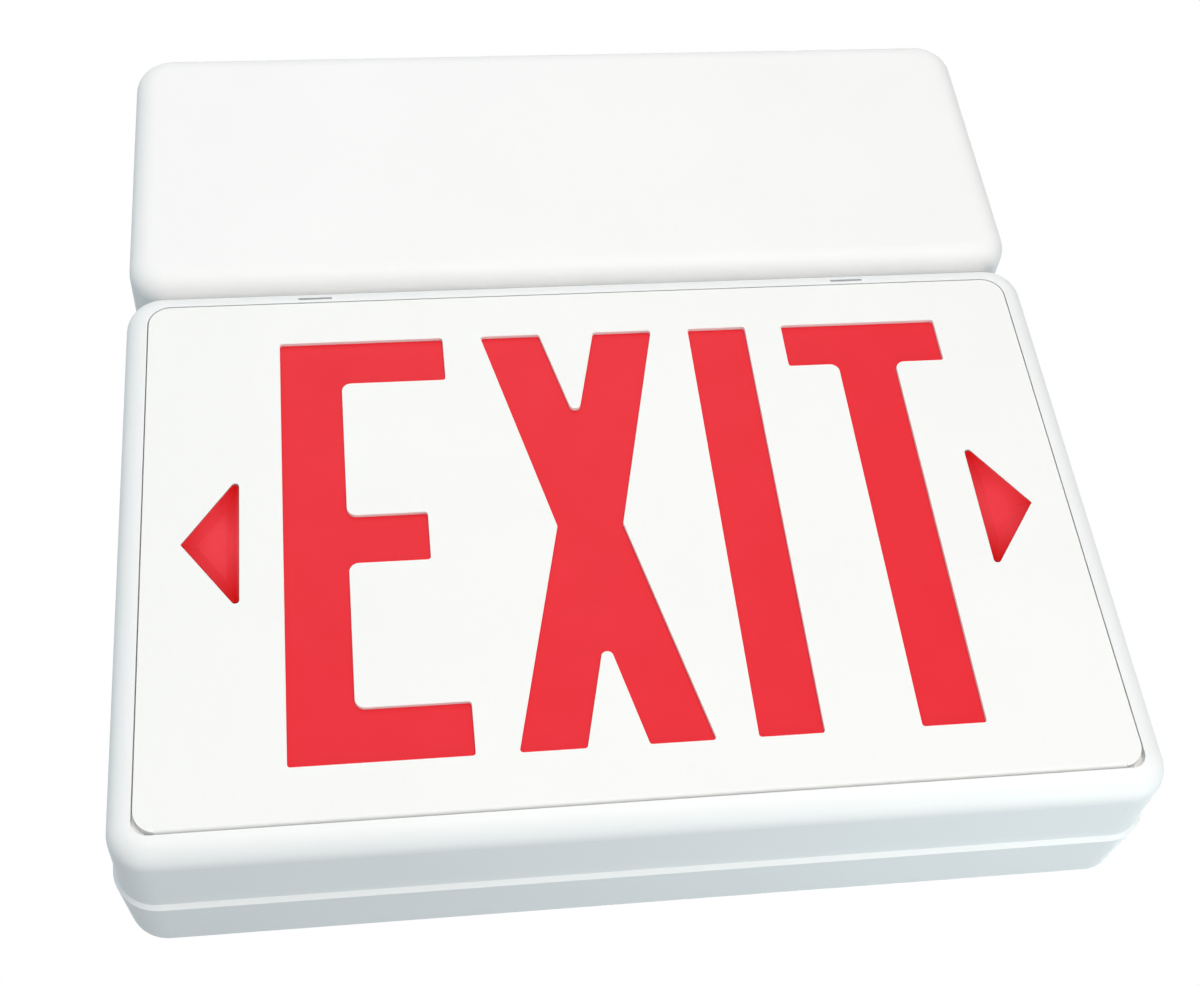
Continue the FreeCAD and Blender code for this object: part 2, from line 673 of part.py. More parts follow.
def stake_spots():
    """Where pins through the letter lens hold it to the stencil, in the blank areas."""
    bay_x = e_left + size.stroke + (e_width - size.stroke) / 2
    bay_z = cap / 2 - size.bar_height / 4
    x_right = x_left + x_width
    between_x_i = x_right - size.letter_gap / 2
    between_i_t = i_left + size.stroke + size.letter_gap
    beyond_t = t_right - size.letter_gap / 2
    return [(bay_x, bay_z), (bay_x, -bay_z), (between_x_i, ZERO), (between_i_t, bay_z),
            (between_i_t, -bay_z), (beyond_t, cap / 2), (beyond_t, -cap / 2 - size.bar_height / 2)]


def stencil():
    """The flat stencil with its letters and chevrons cut out, let in behind for the letter lens."""
    body = new_body("stencil")
    outline = new_sketch(body, "panel_outline", panel_back)
    draw_rounded(outline, panel_width, panel_height, size.panel_corner)
    add_pad(body, outline, size.panel_thickness)
    for name, points in letter_outlines().items():
        letter = new_sketch(body, name, size.sign_depth)
        draw_polygon(letter, points)
        add_pocket(body, letter, size.panel_thickness)
    arrows = new_sketch(body, "arrows", size.sign_depth)
    for side in (-1, 1):
        draw_polygon(arrows, arrow_points(side))
    add_pocket(body, arrows, size.panel_thickness)

    point = cap - size.crotch_depth
    notches = edge_along_depth([(x_middle, point), (x_middle, -point)])
    add_rounding(body, "notch_rounds", size.crotch_round, notches)
    add_rounding(body, "inner_rounds", size.inner_round, edge_along_depth(inside_corners()))
    add_rounding(body, "outer_rounds", size.outer_round, edge_along_depth(outside_corners()))
    arrow_corners = [spot for side in (-1, 1) for spot in arrow_points(side) if Size.of(spot[1]).number != 0]
    add_rounding(body, "arrow_rounds", size.arrow_round, edge_along_depth(arrow_corners))

    seat = new_sketch(body, "lens_seat", panel_back)
    draw_polygon(seat, lens_points(size.lens_edge_gap))
    add_pocket(body, seat, size.panel_thickness - size.letter_wall, reverse=True)
    trim = new_sketch(body, "pivot_trim", size.sign_depth)
    draw_rectangle(trim, -pivot_half, -panel_height, pivot_half, pivot_z)
    add_pocket(body, trim, size.panel_thickness)
    return body


def hook_arm(name, x):
    """An arm bent round the pivot, which swings out from behind the ledge as the panel opens."""
    reach = Rotation(Vector(1, 0, 0), size.hook_start.number) * Rotation(Vector(0, 1, 0), 90)
    sectors = []
    for part, radius in (("outside", size.hook_outer), ("inside", size.hook_inner)):
        sector = doc.addObject("Part::Cylinder", f"{name}_{part}")
        bind(sector, "Radius", radius)
        bind(sector, "Height", size.latch_width)
        bind(sector, "Angle", size.hook_sweep)
        place(sector, x - size.latch_width / 2, pivot_depth, pivot_z, reach)
        sectors.append(sector)
    return subtract(name, sectors[0], sectors[1])


def face_panel():
    """The stencil, the round edge it pivots on, its hook arms and snap tongues, and the lens's pins."""
    pivot = rod("pivot_edge", "X", -pivot_half, pivot_depth, pivot_z, size.panel_thickness / 2,
                2 * pivot_half)
    pieces = [stencil(), pivot]
    tongue_top = panel_height / 2 - size.tongue_drop
    tongue_end = panel_back - size.tongue_length
    for i, x in enumerate(LATCHES, 1):
        left = x - size.latch_width / 2
        pieces.append(hook_arm(f"hook_arm_{i}", x))
        pieces.append(block(f"tongue_{i}", left, tongue_end, tongue_top - size.tongue_thickness,
                            size.latch_width, size.tongue_length + size.panel_thickness / 2,
                            size.tongue_thickness))
        pieces.append(block(f"catch_{i}", left, tongue_end, tongue_top - size.catch_height,
                            size.latch_width, size.tongue_thickness, 2 * size.catch_height))
    pin_back = lens_back - size.stake_height
    for i, (x, z) in enumerate(stake_spots(), 1):
        pieces.append(rod(f"stake_{i}", "Y", x, pin_back, z, size.stake_radius,
                          size.sign_depth - size.letter_wall / 2 - pin_back))
    return join("face_panel", pieces)


def lens_points(gap=ZERO):
    """The letter lens's outline with its notch round the right chevron, drawn outwards by gap."""
    left = e_left - size.lens_margin - gap
    right = t_right + size.lens_margin + gap
    top = window_height / 2 - size.lens_clear + gap
    notch_x = arrow_edge - size.cup_flange - size.lens_margin / 2 + gap
    notch_z = size.arrow_height / 2 + size.cup_flange + 2 * size.lens_margin - gap
    return [(left, -top), (right, -top), (right, -notch_z), (notch_x, -notch_z), (notch_x, notch_z),
            (right, notch_z), (right, top), (left, top)]


def letter_lens():
    """A flat red sheet let into the back of the stencil, drilled for the pins."""
    body = new_body("letter_lens")
    sheet = new_sketch(body, "lens_outline", lens_back)
    draw_polygon(sheet, lens_points())
    add_pad(body, sheet, size.lens_thickness)
    holes = new_sketch(body, "lens_holes", lens_face)
    for x, z in stake_spots():
        draw_circle(holes, x, z, size.stake_radius + size.stake_gap)
    add_pocket(body, holes, size.lens_thickness)
    return body


def arrow_lens(name, side):
    """A red plug that fills one chevron from behind, dished in front, with a flange behind the stencil."""
    body = new_body(name)
    rim = size.sign_depth - size.cup_gap
    floor = rim - size.cup_depth
    outline = new_sketch(body, f"{name}_outline", floor)
    draw_polygon(outline, arrow_points(side, size.cup_gap))
    add_pad(body, outline, size.cup_depth)
    ends = [spot for spot in arrow_points(side, size.cup_gap) if Size.of(spot[1]).number != 0]
    add_rounding(body, f"{name}_rounds", size.arrow_round, edge_along_depth(ends))
    flange = new_sketch(body, f"{name}_flange", panel_back - size.lens_gap - size.cup_wall)
    draw_polygon(flange, arrow_points(side, -size.cup_flange))
    add_pad(body, flange, size.cup_wall)
    hollow = new_sketch(body, f"{name}_hollow", rim)
    draw_polygon(hollow, arrow_points(side, size.cup_gap + size.dish_rim))
    add_pocket(body, hollow, size.dish_depth, taper=-size.dish_slope)
    return body


def back_housing():
    """The rear shell: tapered towards the wall, with screw posts, board ribs and wall holes."""
    body = new_body("back_housing")
    wall_width = size.sign_width - 2 * size.back_taper
    wall_height = size.sign_height - 2 * size.back_taper
    slant = Size(math.degrees(math.atan2(size.back_taper.number, size.parting_depth.number)),
                 f"atan({size.back_taper.formula} / {size.parting_depth.formula})")
    shell = new_sketch(body, "back_outline", ZERO)
    draw_rounded(shell, wall_width, wall_height, size.corner_radius)
    add_pad(body, shell, size.parting_depth, taper=slant)
    add_rounding(body, "rim_bevel", size.rim_step, edge_at_depth(size.parting_depth), "PartDesign::Chamfer")
    add_rounding(body, "back_round", size.back_edge_radius, edge_at_depth(ZERO))

    seats = new_sketch(body, "nipple_seats", inside_height / 2, role="XY_Plane")
    for x in (-size.nipple_offset, size.nipple_offset):
        draw_circle(seats, x, -size.nipple_depth, size.washer_radius)
    add_pad(body, seats, box_bottom - inside_height / 2)

    hollow = new_sketch(body, "back_hollow", size.parting_depth)
    draw_rounded(hollow, inside_width, inside_height, size.corner_radius - size.wall)
    add_pocket(body, hollow, size.parting_depth - size.wall)
    rebate = new_sketch(body, "lip_rebate", size.parting_depth)
    reach = 2 * (size.lip_thickness + size.lip_gap)
    radius = size.corner_radius - size.wall + reach / 2
    draw_rounded(rebate, inside_width + reach, inside_height + reach, radius)
    add_pocket(body, rebate, size.lip_height + size.lip_gap)

    posts = new_sketch(body, "back_posts", size.wall)
    for x, z in POSTS:
        draw_circle(posts, x, z, size.back_post_radius)
    add_pad(body, posts, size.parting_depth - size.wall)
    shanks = new_sketch(body, "screw_holes", size.parting_depth)
    for x, z in POSTS:
        draw_circle(shanks, x, z, size.screw_radius + size.hole_gap)
    add_pocket(body, shanks, size.parting_depth)
    heads = new_sketch(body, "screw_counterbores", ZERO)
    for x, z in POSTS:
        draw_circle(heads, x, z, size.screw_head_radius + size.hole_gap)
    add_pocket(body, heads, size.counterbore_depth, reverse=True)

    openings = new_sketch(body, "wall_openings", size.wall)
    draw_circle(openings, ZERO, ZERO, size.entry_radius)
    for side in (-1, 1):
        draw_circle(openings, side * size.box_screw_spacing / 2, ZERO, size.box_screw_radius)
    add_pocket(body, openings, size.wall)
    add_keyholes(body, "back_keyholes", size.keyhole_height, size.wall)

    ribs = new_sketch(body, "board_ribs", size.wall)
    inner = board_offset - size.rib_thickness
    outer = board_offset + 2 * size.rib_thickness
    for x in (-board_rib_offset, board_rib_offset):
        left, right = x - size.rib_thickness / 2, x + size.rib_thickness / 2
        draw_rectangle(ribs, left, inner, right, outer)
        draw_rectangle(ribs, left, -outer, right, -inner)
    rib_top = size.board_depth + size.board_width
    add_pad(body, ribs, rib_top - size.wall)
    slots = new_sketch(body, "board_slots", rib_top)
    board_inner = board_offset - size.slot_gap
    board_outer = board_offset + size.board_thickness + size.slot_gap
    for x in (-board_rib_offset, board_rib_offset):
        left, right = x - size.rib_thickness, x + size.rib_thickness
        draw_rectangle(slots, left, board_inner, right, board_outer)
        draw_rectangle(slots, left, -board_outer, right, -board_inner)
    add_pocket(body, slots, size.board_width + size.slot_gap)

    feet = new_sketch(body, "reflector_feet", size.wall)
    for x, z in corners(tray_width / 2 - size.back_post_radius,
                        tray_height / 2 - size.back_post_radius):
        draw_circle(feet, x, z, size.front_post_radius)
    add_pad(body, feet, size.reflector_depth - size.wall)

    bores = new_sketch(body, "nipple_bores", box_bottom, role="XY_Plane")
    for x in (-size.nipple_offset, size.nipple_offset):
        draw_circle(bores, x, -size.nipple_depth, size.nipple_radius + size.nipple_gap)
    add_pocket(body, bores, 2 * size.wall + size.rim_step)
    return body


def add_keyholes(body, name, z, through):
    """Two keyholes through a back wall: a round hole for the screw's head with a slot above it."""
    heads = new_sketch(body, f"{name}_heads", through)
    for side in (-1, 1):
        draw_circle(heads, side * size.keyhole_spacing / 2, z, size.keyhole_head)
    add_pocket(body, heads, through)
    slots = new_sketch(body, f"{name}_slots", through)
    for side in (-1, 1):
        x = side * size.keyhole_spacing / 2
        draw_rectangle(slots, x - size.keyhole_slot, z, x + size.keyhole_slot, z + size.keyhole_travel)
    add_pocket(body, slots, through)
    ends = new_sketch(body, f"{name}_ends", through)
    for side in (-1, 1):
        draw_circle(ends, side * size.keyhole_spacing / 2, z + size.keyhole_travel, size.keyhole_slot)
    add_pocket(body, ends, through)


def screws(name, spots, head_depth, shank_length):
    """Pan head screws along the depth, their heads towards the wall."""
    pieces = []
    for i, (x, z) in enumerate(spots, 1):
        head = rod(f"{name}_head_{i}", "Y", x, head_depth - size.screw_head_height, z,
                   size.screw_head_radius, size.screw_head_height)
        shank = rod(f"{name}_shank_{i}", "Y", x, head_depth, z, size.screw_radius, shank_length)
        pieces.append(join(f"{name}_{i}", [head, shank]))
    return group(name, pieces)


def reflector():
    """A white tray behind the letters, its sides slanted out towards the LED boards."""
    body = new_body("reflector")
    floor = new_sketch(body, "tray_floor", size.reflector_depth)
    draw_rounded(floor, tray_width, tray_height, size.corner_radius)
    add_pad(body, floor, size.reflector_height, taper=size.reflector_slant)
    inner = new_sketch(body, "tray_hollow", size.reflector_depth + size.reflector_wall)
    draw_rounded(inner, tray_width, tray_height, size.corner_radius)
    add_pocket(body, inner, size.reflector_height, reverse=True, taper=size.reflector_slant)
    return body


def led_board(name, side):
    """A strip circuit board that lies level in the slots of the ribs; side is 1 above, -1 below."""
    low = board_offset if side > 0 else -board_offset - size.board_thickness
    return block(name, -board_length / 2, size.board_depth, low,
                 board_length, size.board_width, size.board_thickness)


def leds(name, side):
    """A row of LEDs on the inner face of a strip board."""
    pieces = []
    count = int(size.led_count.number)
    middle = size.board_depth + size.board_width / 2
    low = board_offset - size.led_height if side > 0 else -board_offset
    for i in range(count):
        x = (i - (count - 1) / 2) * led_spacing
        pieces.append(rod(f"{name}_{i + 1}", "Z", x, middle, low, size.led_radius, size.led_height))
    return group(name, pieces)


# ---------------------------------------------------------------------------------------------
# The battery housing: a folded pan on the wall, what it carries, and a moulded cover
# ---------------------------------------------------------------------------------------------
NIPPLES = [-size.nipple_offset, size.nipple_offset]


def battery_cover():
    """A moulded cover open at the wall, with slots that clear the nipples as it slides on."""
    body = new_body("battery_cover")
    shell = new_sketch(body, "cover_outline", ZERO)
    draw_rounded(shell, cover_width, size.cover_height, size.cover_corner, box_middle)
    add_pad(body, shell, size.sign_depth)
    add_rounding(body, "cover_roll", size.edge_radius, edge_at_depth(size.sign_depth))
    hollow = new_sketch(body, "cover_hollow", ZERO)
    inside_radius = size.cover_corner - size.wall
    draw_rounded(hollow, 2 * cover_inside, size.cover_height - 2 * size.wall, inside_radius, box_middle)
    depth = size.sign_depth - size.wall
    add_pocket(body, hollow, depth, reverse=True)
    add_rounding(body, "cover_inner_roll", size.edge_radius - size.wall, edge_at_depth(depth))

    slots = new_sketch(body, "nipple_slots", box_bottom + size.wall, role="XY_Plane")
    half = size.washer_radius + size.nipple_gap
    for x in NIPPLES:
        draw_rectangle(slots, x - half, -(size.nipple_depth + half), x + half, ZERO)
    add_pocket(body, slots, size.wall)

    sides = new_sketch(body, "cover_screw_holes", cover_width / 2, role="YZ_Plane")
    draw_circle(sides, -size.cover_screw_depth, box_middle, size.screw_radius + size.hole_gap)
    add_pocket(body, sides, cover_width)
    end = new_sketch(body, "control_holes", cover_width / 2, role="YZ_Plane")
    draw_circle(end, -size.button_depth, box_middle - size.button_z, size.button_radius + size.button_gap)
    draw_circle(end, -size.button_depth, box_middle + size.lamp_z, size.lamp_radius + 2 * size.button_gap)
    add_pocket(body, end, 2 * size.wall)
    return body


def back_pan():
    """The folded steel pan that is fixed to the wall and carries the battery and the circuit."""
    body = new_body("back_pan")
    profile = new_sketch(body, "pan_profile", ZERO, role="YZ_Plane")
    draw_polygon(profile, [(ZERO, pan_bottom), (ZERO, pan_top), (-size.upper_flange, pan_top),
                           (-size.upper_flange, pan_top - size.sheet), (-size.sheet, pan_top - size.sheet),
                           (-size.sheet, pan_bottom + size.sheet),
                           (-size.lower_flange, pan_bottom + size.sheet), (-size.lower_flange, pan_bottom)])
    pan = body.newObject("PartDesign::Pad", "pan_fold")
    pan.Profile = profile
    pan.SideType = "Symmetric"
    bind(pan, "Length", 2 * pan_half - 2 * size.cover_corner)
    doc.recompute()

    plate = new_sketch(body, "pan_plate", ZERO)
    clear = size.bend_radius + size.sheet
    draw_rectangle(plate, -pan_half, pan_bottom + size.cover_corner, pan_half, pan_top - size.cover_corner)
    add_pad(body, plate, size.sheet)
    tabs = new_sketch(body, "end_tabs", ZERO)
    low, high = box_middle - size.tab_width / 2, box_middle + size.tab_width / 2
    draw_rectangle(tabs, pan_half - size.sheet, low, pan_half, high)
    draw_rectangle(tabs, -pan_half, low, size.sheet - pan_half, high)
    add_pad(body, tabs, size.tab_length)

    def fold_lines(z_offset, depth):
        def chosen(edge):
            box = edge.BoundBox
            level = near(box.ZMin, z_offset) and near(box.ZMax, z_offset)
            return level and near(-box.YMin, depth) and near(-box.YMax, depth) and box.XLength > clear.number
        return chosen
    outer, inner = size.bend_radius + size.sheet, size.bend_radius
    add_rounding(body, "lower_fold_outside", outer, fold_lines(pan_bottom, ZERO))
    add_rounding(body, "upper_fold_outside", outer, fold_lines(pan_top, ZERO))
    add_rounding(body, "lower_fold_inside", inner, fold_lines(pan_bottom + size.sheet, size.sheet))
    add_rounding(body, "upper_fold_inside", inner, fold_lines(pan_top - size.sheet, size.sheet))

    entry = new_sketch(body, "pan_entry", size.sheet)
    draw_circle(entry, core_x, pan_top - size.cover_corner - size.entry_radius, size.entry_radius)
    add_pocket(body, entry, size.sheet)
    add_keyholes(body, "pan_keyholes", box_middle + size.keyhole_travel, size.sheet)
    bores = new_sketch(body, "pan_bores", pan_bottom + size.sheet, role="XY_Plane")
    for x in NIPPLES:
        draw_circle(bores, x, -size.nipple_depth, size.nipple_radius + size.nipple_gap)
    add_pocket(body, bores, 2 * size.sheet)
    feet = new_sketch(body, "foot_threads", size.sheet)
    for x, z in (foot_spots(battery_x, box_middle, battery_half)
                 + foot_spots(core_x, core_z, core_width / 2 + size.pan_gap)):
        draw_circle(feet, x, z, size.screw_radius + size.pilot_gap)
    add_pocket(body, feet, size.sheet)
    threads = new_sketch(body, "tab_threads", pan_half, role="YZ_Plane")
    draw_circle(threads, -size.cover_screw_depth, box_middle, size.screw_radius + size.pilot_gap)
    add_pocket(body, threads, 2 * pan_half)
    return body


def side_screws(name):
    """The two screws that hold the cover to the pan's end tabs, one at each end."""
    pieces = []
    half = cover_width / 2
    for i, side in enumerate((-1, 1), 1):
        head_x = half if side > 0 else -half - size.screw_head_height
        shank_x = half - size.cover_screw_length if side > 0 else -half
        head = rod(f"{name}_head_{i}", "X", head_x, size.cover_screw_depth, box_middle,
                   size.screw_head_radius, size.screw_head_height)
        shank = rod(f"{name}_shank_{i}", "X", shank_x, size.cover_screw_depth, box_middle,
                    size.screw_radius, size.cover_screw_length)
        pieces.append(join(f"{name}_{i}", [head, shank]))
    return group(name, pieces)


def tube(name, axis, x, depth, z, outer, inner, length):
    solid = rod(f"{name}_solid", axis, x, depth, z, outer, length)
    bore = rod(f"{name}_bore", axis, x, depth, z, inner, length)
    return subtract(name, solid, bore)


def joining_parts():
    """Hollow nipples that join the sign to the pan, with their locknuts and spacer washers."""
    nut_below = inside_height / 2 - size.locknut_height
    nut_above = pan_bottom + size.sheet
    start = nut_below - size.nipple_overhang
    length = nut_above + size.locknut_height + size.nipple_overhang - start
    nipples = [tube(f"nipple_{i}", "Z", x, size.nipple_depth, start, size.nipple_radius,
                    size.nipple_bore, length) for i, x in enumerate(NIPPLES, 1)]
    washers = [tube(f"washer_{i}", "Z", x, size.nipple_depth, box_bottom, size.washer_radius,
                    size.nipple_radius + size.nipple_gap, pan_bottom - box_bottom)
               for i, x in enumerate(NIPPLES, 1)]
    nuts = []
    for i, x in enumerate(NIPPLES, 1):
        for level, z in (("below", nut_below), ("above", nut_above)):
            hexagon = doc.addObject("Part::Prism", f"nut_{level}_{i}_hexagon")
            hexagon.Polygon = 6
            bind(hexagon, "Circumradius", size.locknut_flats / math.sqrt(3))
            bind(hexagon, "Height", size.locknut_height)
            place(hexagon, x, size.nipple_depth, z)
            bore = rod(f"nut_{level}_{i}_bore", "Z", x, size.nipple_depth, z,
                       size.nipple_radius + size.thread_gap, size.locknut_height)
            nuts.append(subtract(f"nut_{level}_{i}", hexagon, bore))
    return [group("joining_nipples", nipples), group("spacer_washers", washers), group("locknuts", nuts)]


def strap(name, x, z, inside_half, top):
    """A steel strap bent over a part, its two feet drilled and screwed to the pan."""
    floor, sheet = size.sheet, size.sheet
    left, right, foot = x - inside_half, x + inside_half, size.strap_foot
    body = new_body(name)
    profile = new_sketch(body, f"{name}_profile", z - size.strap_width / 2, role="XY_Plane")
    draw_polygon(profile, [(left - sheet - foot, -floor), (left, -floor), (left, -top), (right, -top),
                           (right, -floor), (right + sheet + foot, -floor),
                           (right + sheet + foot, -floor - sheet), (right + sheet, -floor - sheet),
                           (right + sheet, -top - sheet), (left - sheet, -top - sheet),
                           (left - sheet, -floor - sheet), (left - sheet - foot, -floor - sheet)])
    add_pad(body, profile, size.strap_width)
    holes = new_sketch(body, f"{name}_holes", floor + sheet)
    for spot_x, spot_z in foot_spots(x, z, inside_half):
        draw_circle(holes, spot_x, spot_z, size.screw_radius + size.hole_gap)
    add_pocket(body, holes, sheet)
    return body


def foot_spots(x, z, inside_half):
    """Where a strap's two feet are screwed down."""
    reach = inside_half + size.sheet + size.strap_foot / 2
    return [(x - reach, z), (x + reach, z)]


def battery_parts():
    """Cells side by side in one wrap, under a steel strap."""
    count = int(size.cell_count.number)
    pitch = 2 * size.cell_radius
    depth = size.sheet + size.cell_gap + size.cell_radius
    low = box_middle - size.cell_length / 2
    cells = [rod(f"cell_{i + 1}", "Z", battery_x + (i - (count - 1) / 2) * pitch, depth, low,
                 size.cell_radius, size.cell_length) for i in range(count)]
    web_left = battery_x - (count - 1) / 2 * pitch
    web = block("cell_web", web_left, depth - size.cell_radius / 2, low, (count - 1) * pitch,
                size.cell_radius, size.cell_length)
    pack = join("battery_pack", cells + [web])
    top = depth + size.cell_radius + size.cell_gap
    return [pack, strap("battery_strap", battery_x, box_middle, battery_half, top)]


def transformer_parts():
    """A stack of laminations with two windows, the coil round its middle leg, and the steel frame over it."""
    back = size.sheet + size.pan_gap
    low = core_z - size.core_stack / 2
    body = new_body("transformer_core")
    outline = new_sketch(body, "core_outline", low, role="XY_Plane")
    draw_rectangle(outline, core_x - core_width / 2, -back - core_height, core_x + core_width / 2, -back)
    add_pad(body, outline, size.core_stack)
    windows = new_sketch(body, "core_windows", low + size.core_stack, role="XY_Plane")
    near_edge, far_edge = back + size.core_leg, back + size.core_leg + size.core_window_length
    for side in (-1, 1):
        inner = core_x + side * size.core_leg
        outer = inner + side * size.core_window_width
        left, right = (outer, inner) if side < 0 else (inner, outer)
        draw_rectangle(windows, left, -far_edge, right, -near_edge)
    add_pocket(body, windows, size.core_stack)

    coil_half = size.core_leg + size.core_window_width - size.coil_gap
    coil_back = near_edge + size.coil_gap
    coil_depth = size.core_window_length - 2 * size.coil_gap
    overhang = size.core_stack / 2 + size.coil_overhang
    solid = block("coil_solid", core_x - coil_half, coil_back, core_z - overhang, 2 * coil_half, coil_depth,
                  2 * overhang)
    leg_half = size.core_leg + size.coil_gap
    stack_half = size.core_stack / 2 + size.coil_gap
    hollow = block("coil_hollow", core_x - leg_half, coil_back - size.coil_gap, core_z - stack_half,
                   2 * leg_half, size.core_window_length, 2 * stack_half)
    top = back + core_height + size.pan_gap
    frame = strap("transformer_frame", core_x, core_z, core_width / 2 + size.pan_gap, top)
    return [body, subtract("transformer_coil", solid, hollow), frame]


def strap_screws(name):
    """Screws through the feet of both straps into the pan."""
    spots = foot_spots(battery_x, box_middle, battery_half)
    spots += foot_spots(core_x, core_z, core_width / 2 + size.pan_gap)
    return front_screws(name, spots, 2 * size.sheet, 2 * size.sheet)


def front_screws(name, spots, seat, shank_length):
    """Pan head screws along the depth, their heads away from the wall."""
    pieces = []
    for i, (x, z) in enumerate(spots, 1):
        head = rod(f"{name}_head_{i}", "Y", x, seat, z, size.screw_head_radius, size.screw_head_height)
        shank = rod(f"{name}_shank_{i}", "Y", x, seat - shank_length, z, size.screw_radius, shank_length)
        pieces.append(join(f"{name}_{i}", [head, shank]))
    return group(name, pieces)


def circuit_parts():
    """The charger board on its standoffs, with the parts that stand on it."""
    board_back = size.sheet + size.standoff_height
    board_face = board_back + size.board_thickness
    left = circuit_x - size.circuit_width / 2
    sink_x = switch_right - size.switch_length - size.part_gap - size.sink_width
    low = box_middle - size.circuit_height / 2
    top = low + size.circuit_height
    spots = [(circuit_x + x, box_middle + z)
             for x, z in corners(size.circuit_width / 2 - size.standoff_inset,
                                 size.circuit_height / 2 - size.standoff_inset)]
    slab = block("circuit_slab", left, board_back, low, size.circuit_width, size.board_thickness,
                 size.circuit_height)
    holes = [rod(f"circuit_hole_{i}", "Y", x, board_back, z, size.screw_radius + size.hole_gap,
                 size.board_thickness) for i, (x, z) in enumerate(spots, 1)]
    board = subtract("charger_board", slab, join("circuit_holes", holes))
    standoffs = group("board_standoffs", [
        tube(f"standoff_{i}", "Y", x, size.sheet, z, size.standoff_radius,
             size.screw_radius + size.thread_gap, size.standoff_height)
        for i, (x, z) in enumerate(spots, 1)])
    heads = front_screws("board_screws", spots, board_face, size.board_thickness + size.board_screw_reach)

    clear = 2 * size.standoff_inset
    relay = block("relay", left + clear, board_face, top - clear - size.relay_height, size.relay_width,
                  size.relay_depth, size.relay_height)
    first = left + clear + size.relay_width + size.part_gap + size.capacitor_radius
    pitch = 2 * size.capacitor_radius + size.part_gap
    height = top - clear - size.relay_height / 2
    capacitors = group("capacitors", [
        rod(f"capacitor_{i + 1}", "Y", first + i * pitch, board_face, height, size.capacitor_radius,
            size.capacitor_length) for i in range(2)])
    wires = terminals(left + clear, board_face, low + size.part_gap)
    sink = heat_sink(sink_x, board_face, box_middle - size.sink_height / 2)
    fused = fuse_parts(left + clear, board_face, box_middle - size.part_gap)
    return [board, standoffs, heads, relay, capacitors, wires, sink] + fused


def terminals(x, depth, z):
    """A block of wire terminals, with a hole for each wire along the board's lower edge."""
    slab = block("terminal_slab", x, depth, z, size.terminal_width, size.terminal_depth, size.terminal_height)
    ways = int(size.terminal_ways.number)
    pitch = size.terminal_width / ways
    holes = [rod(f"terminal_way_{i + 1}", "Z", x + (i + 0.5) * pitch, depth + size.terminal_depth / 3, z,
                 size.terminal_hole, size.terminal_height / 2) for i in range(ways)]
    wells = [rod(f"terminal_screw_{i + 1}", "Y", x + (i + 0.5) * pitch, depth + size.terminal_depth * 2 / 3,
                 z + size.terminal_height / 2, size.terminal_hole, size.terminal_depth / 3)
             for i in range(ways)]
    return subtract("terminal_block", slab, join("terminal_holes", holes + wells))


def heat_sink(x, depth, z):
    """A folded aluminium channel that stands on the board, open away from the wall."""
    slab = block("sink_slab", x, depth, z, size.sink_width, size.sink_depth, size.sink_height)
    channel = block("sink_channel", x + size.sheet, depth + size.sheet, z, size.sink_width - 2 * size.sheet,
                    size.sink_depth, size.sink_height)
    return subtract("heat_sink", slab, channel)


def fuse_parts(x, depth, z):
    """A glass fuse lying in two clips."""
    middle = depth + size.fuse_radius + size.sheet
    fuse = rod("fuse", "X", x, middle, z, size.fuse_radius, size.fuse_length)
    side = size.fuse_radius + size.pan_gap
    clips = []
    for i, start in enumerate((x, x + size.fuse_length - size.clip_length), 1):
        slab = block(f"clip_{i}_slab", start, depth, z - side - size.pan_gap, size.clip_length,
                     size.fuse_radius * 2 + size.sheet, 2 * (side + size.pan_gap))
        bore = rod(f"clip_{i}_bore", "X", start, middle, z, size.fuse_radius + size.thread_gap,
                   size.clip_length)
        mouth = block(f"clip_{i}_mouth", start, middle, z - size.fuse_radius / 2, size.clip_length,
                      2 * size.fuse_radius, size.fuse_radius)
        clips.append(subtract(f"clip_{i}", slab, join(f"clip_{i}_opening", [bore, mouth])))
    return [fuse, group("fuse_clips", clips)]


def button_spring(start_x, end_x, z):
    """A coil between the switch and the button's shoulder, round the button's tip."""
    wire = size.spring_wire.number
    length = end_x.number - start_x.number - 2 * (wire + size.spring_gap.number)
    radius = size.button_radius.number
    pitch = length / size.spring_turns.number
    path = Part.makeHelix(pitch, length, radius)
    rise = pitch / (2 * math.pi * radius)
    section = Part.Wire(Part.Circle(Vector(radius, 0, 0), Vector(0, 1, rise), wire).toShape())
    spring = doc.addObject("Part::Feature", "button_spring")
    spring.Shape = Part.Wire(path.Edges).makePipeShell([section], True, True)
    place(spring, start_x + size.spring_wire + size.spring_gap, size.button_depth, z, AXES["X"])
    return spring


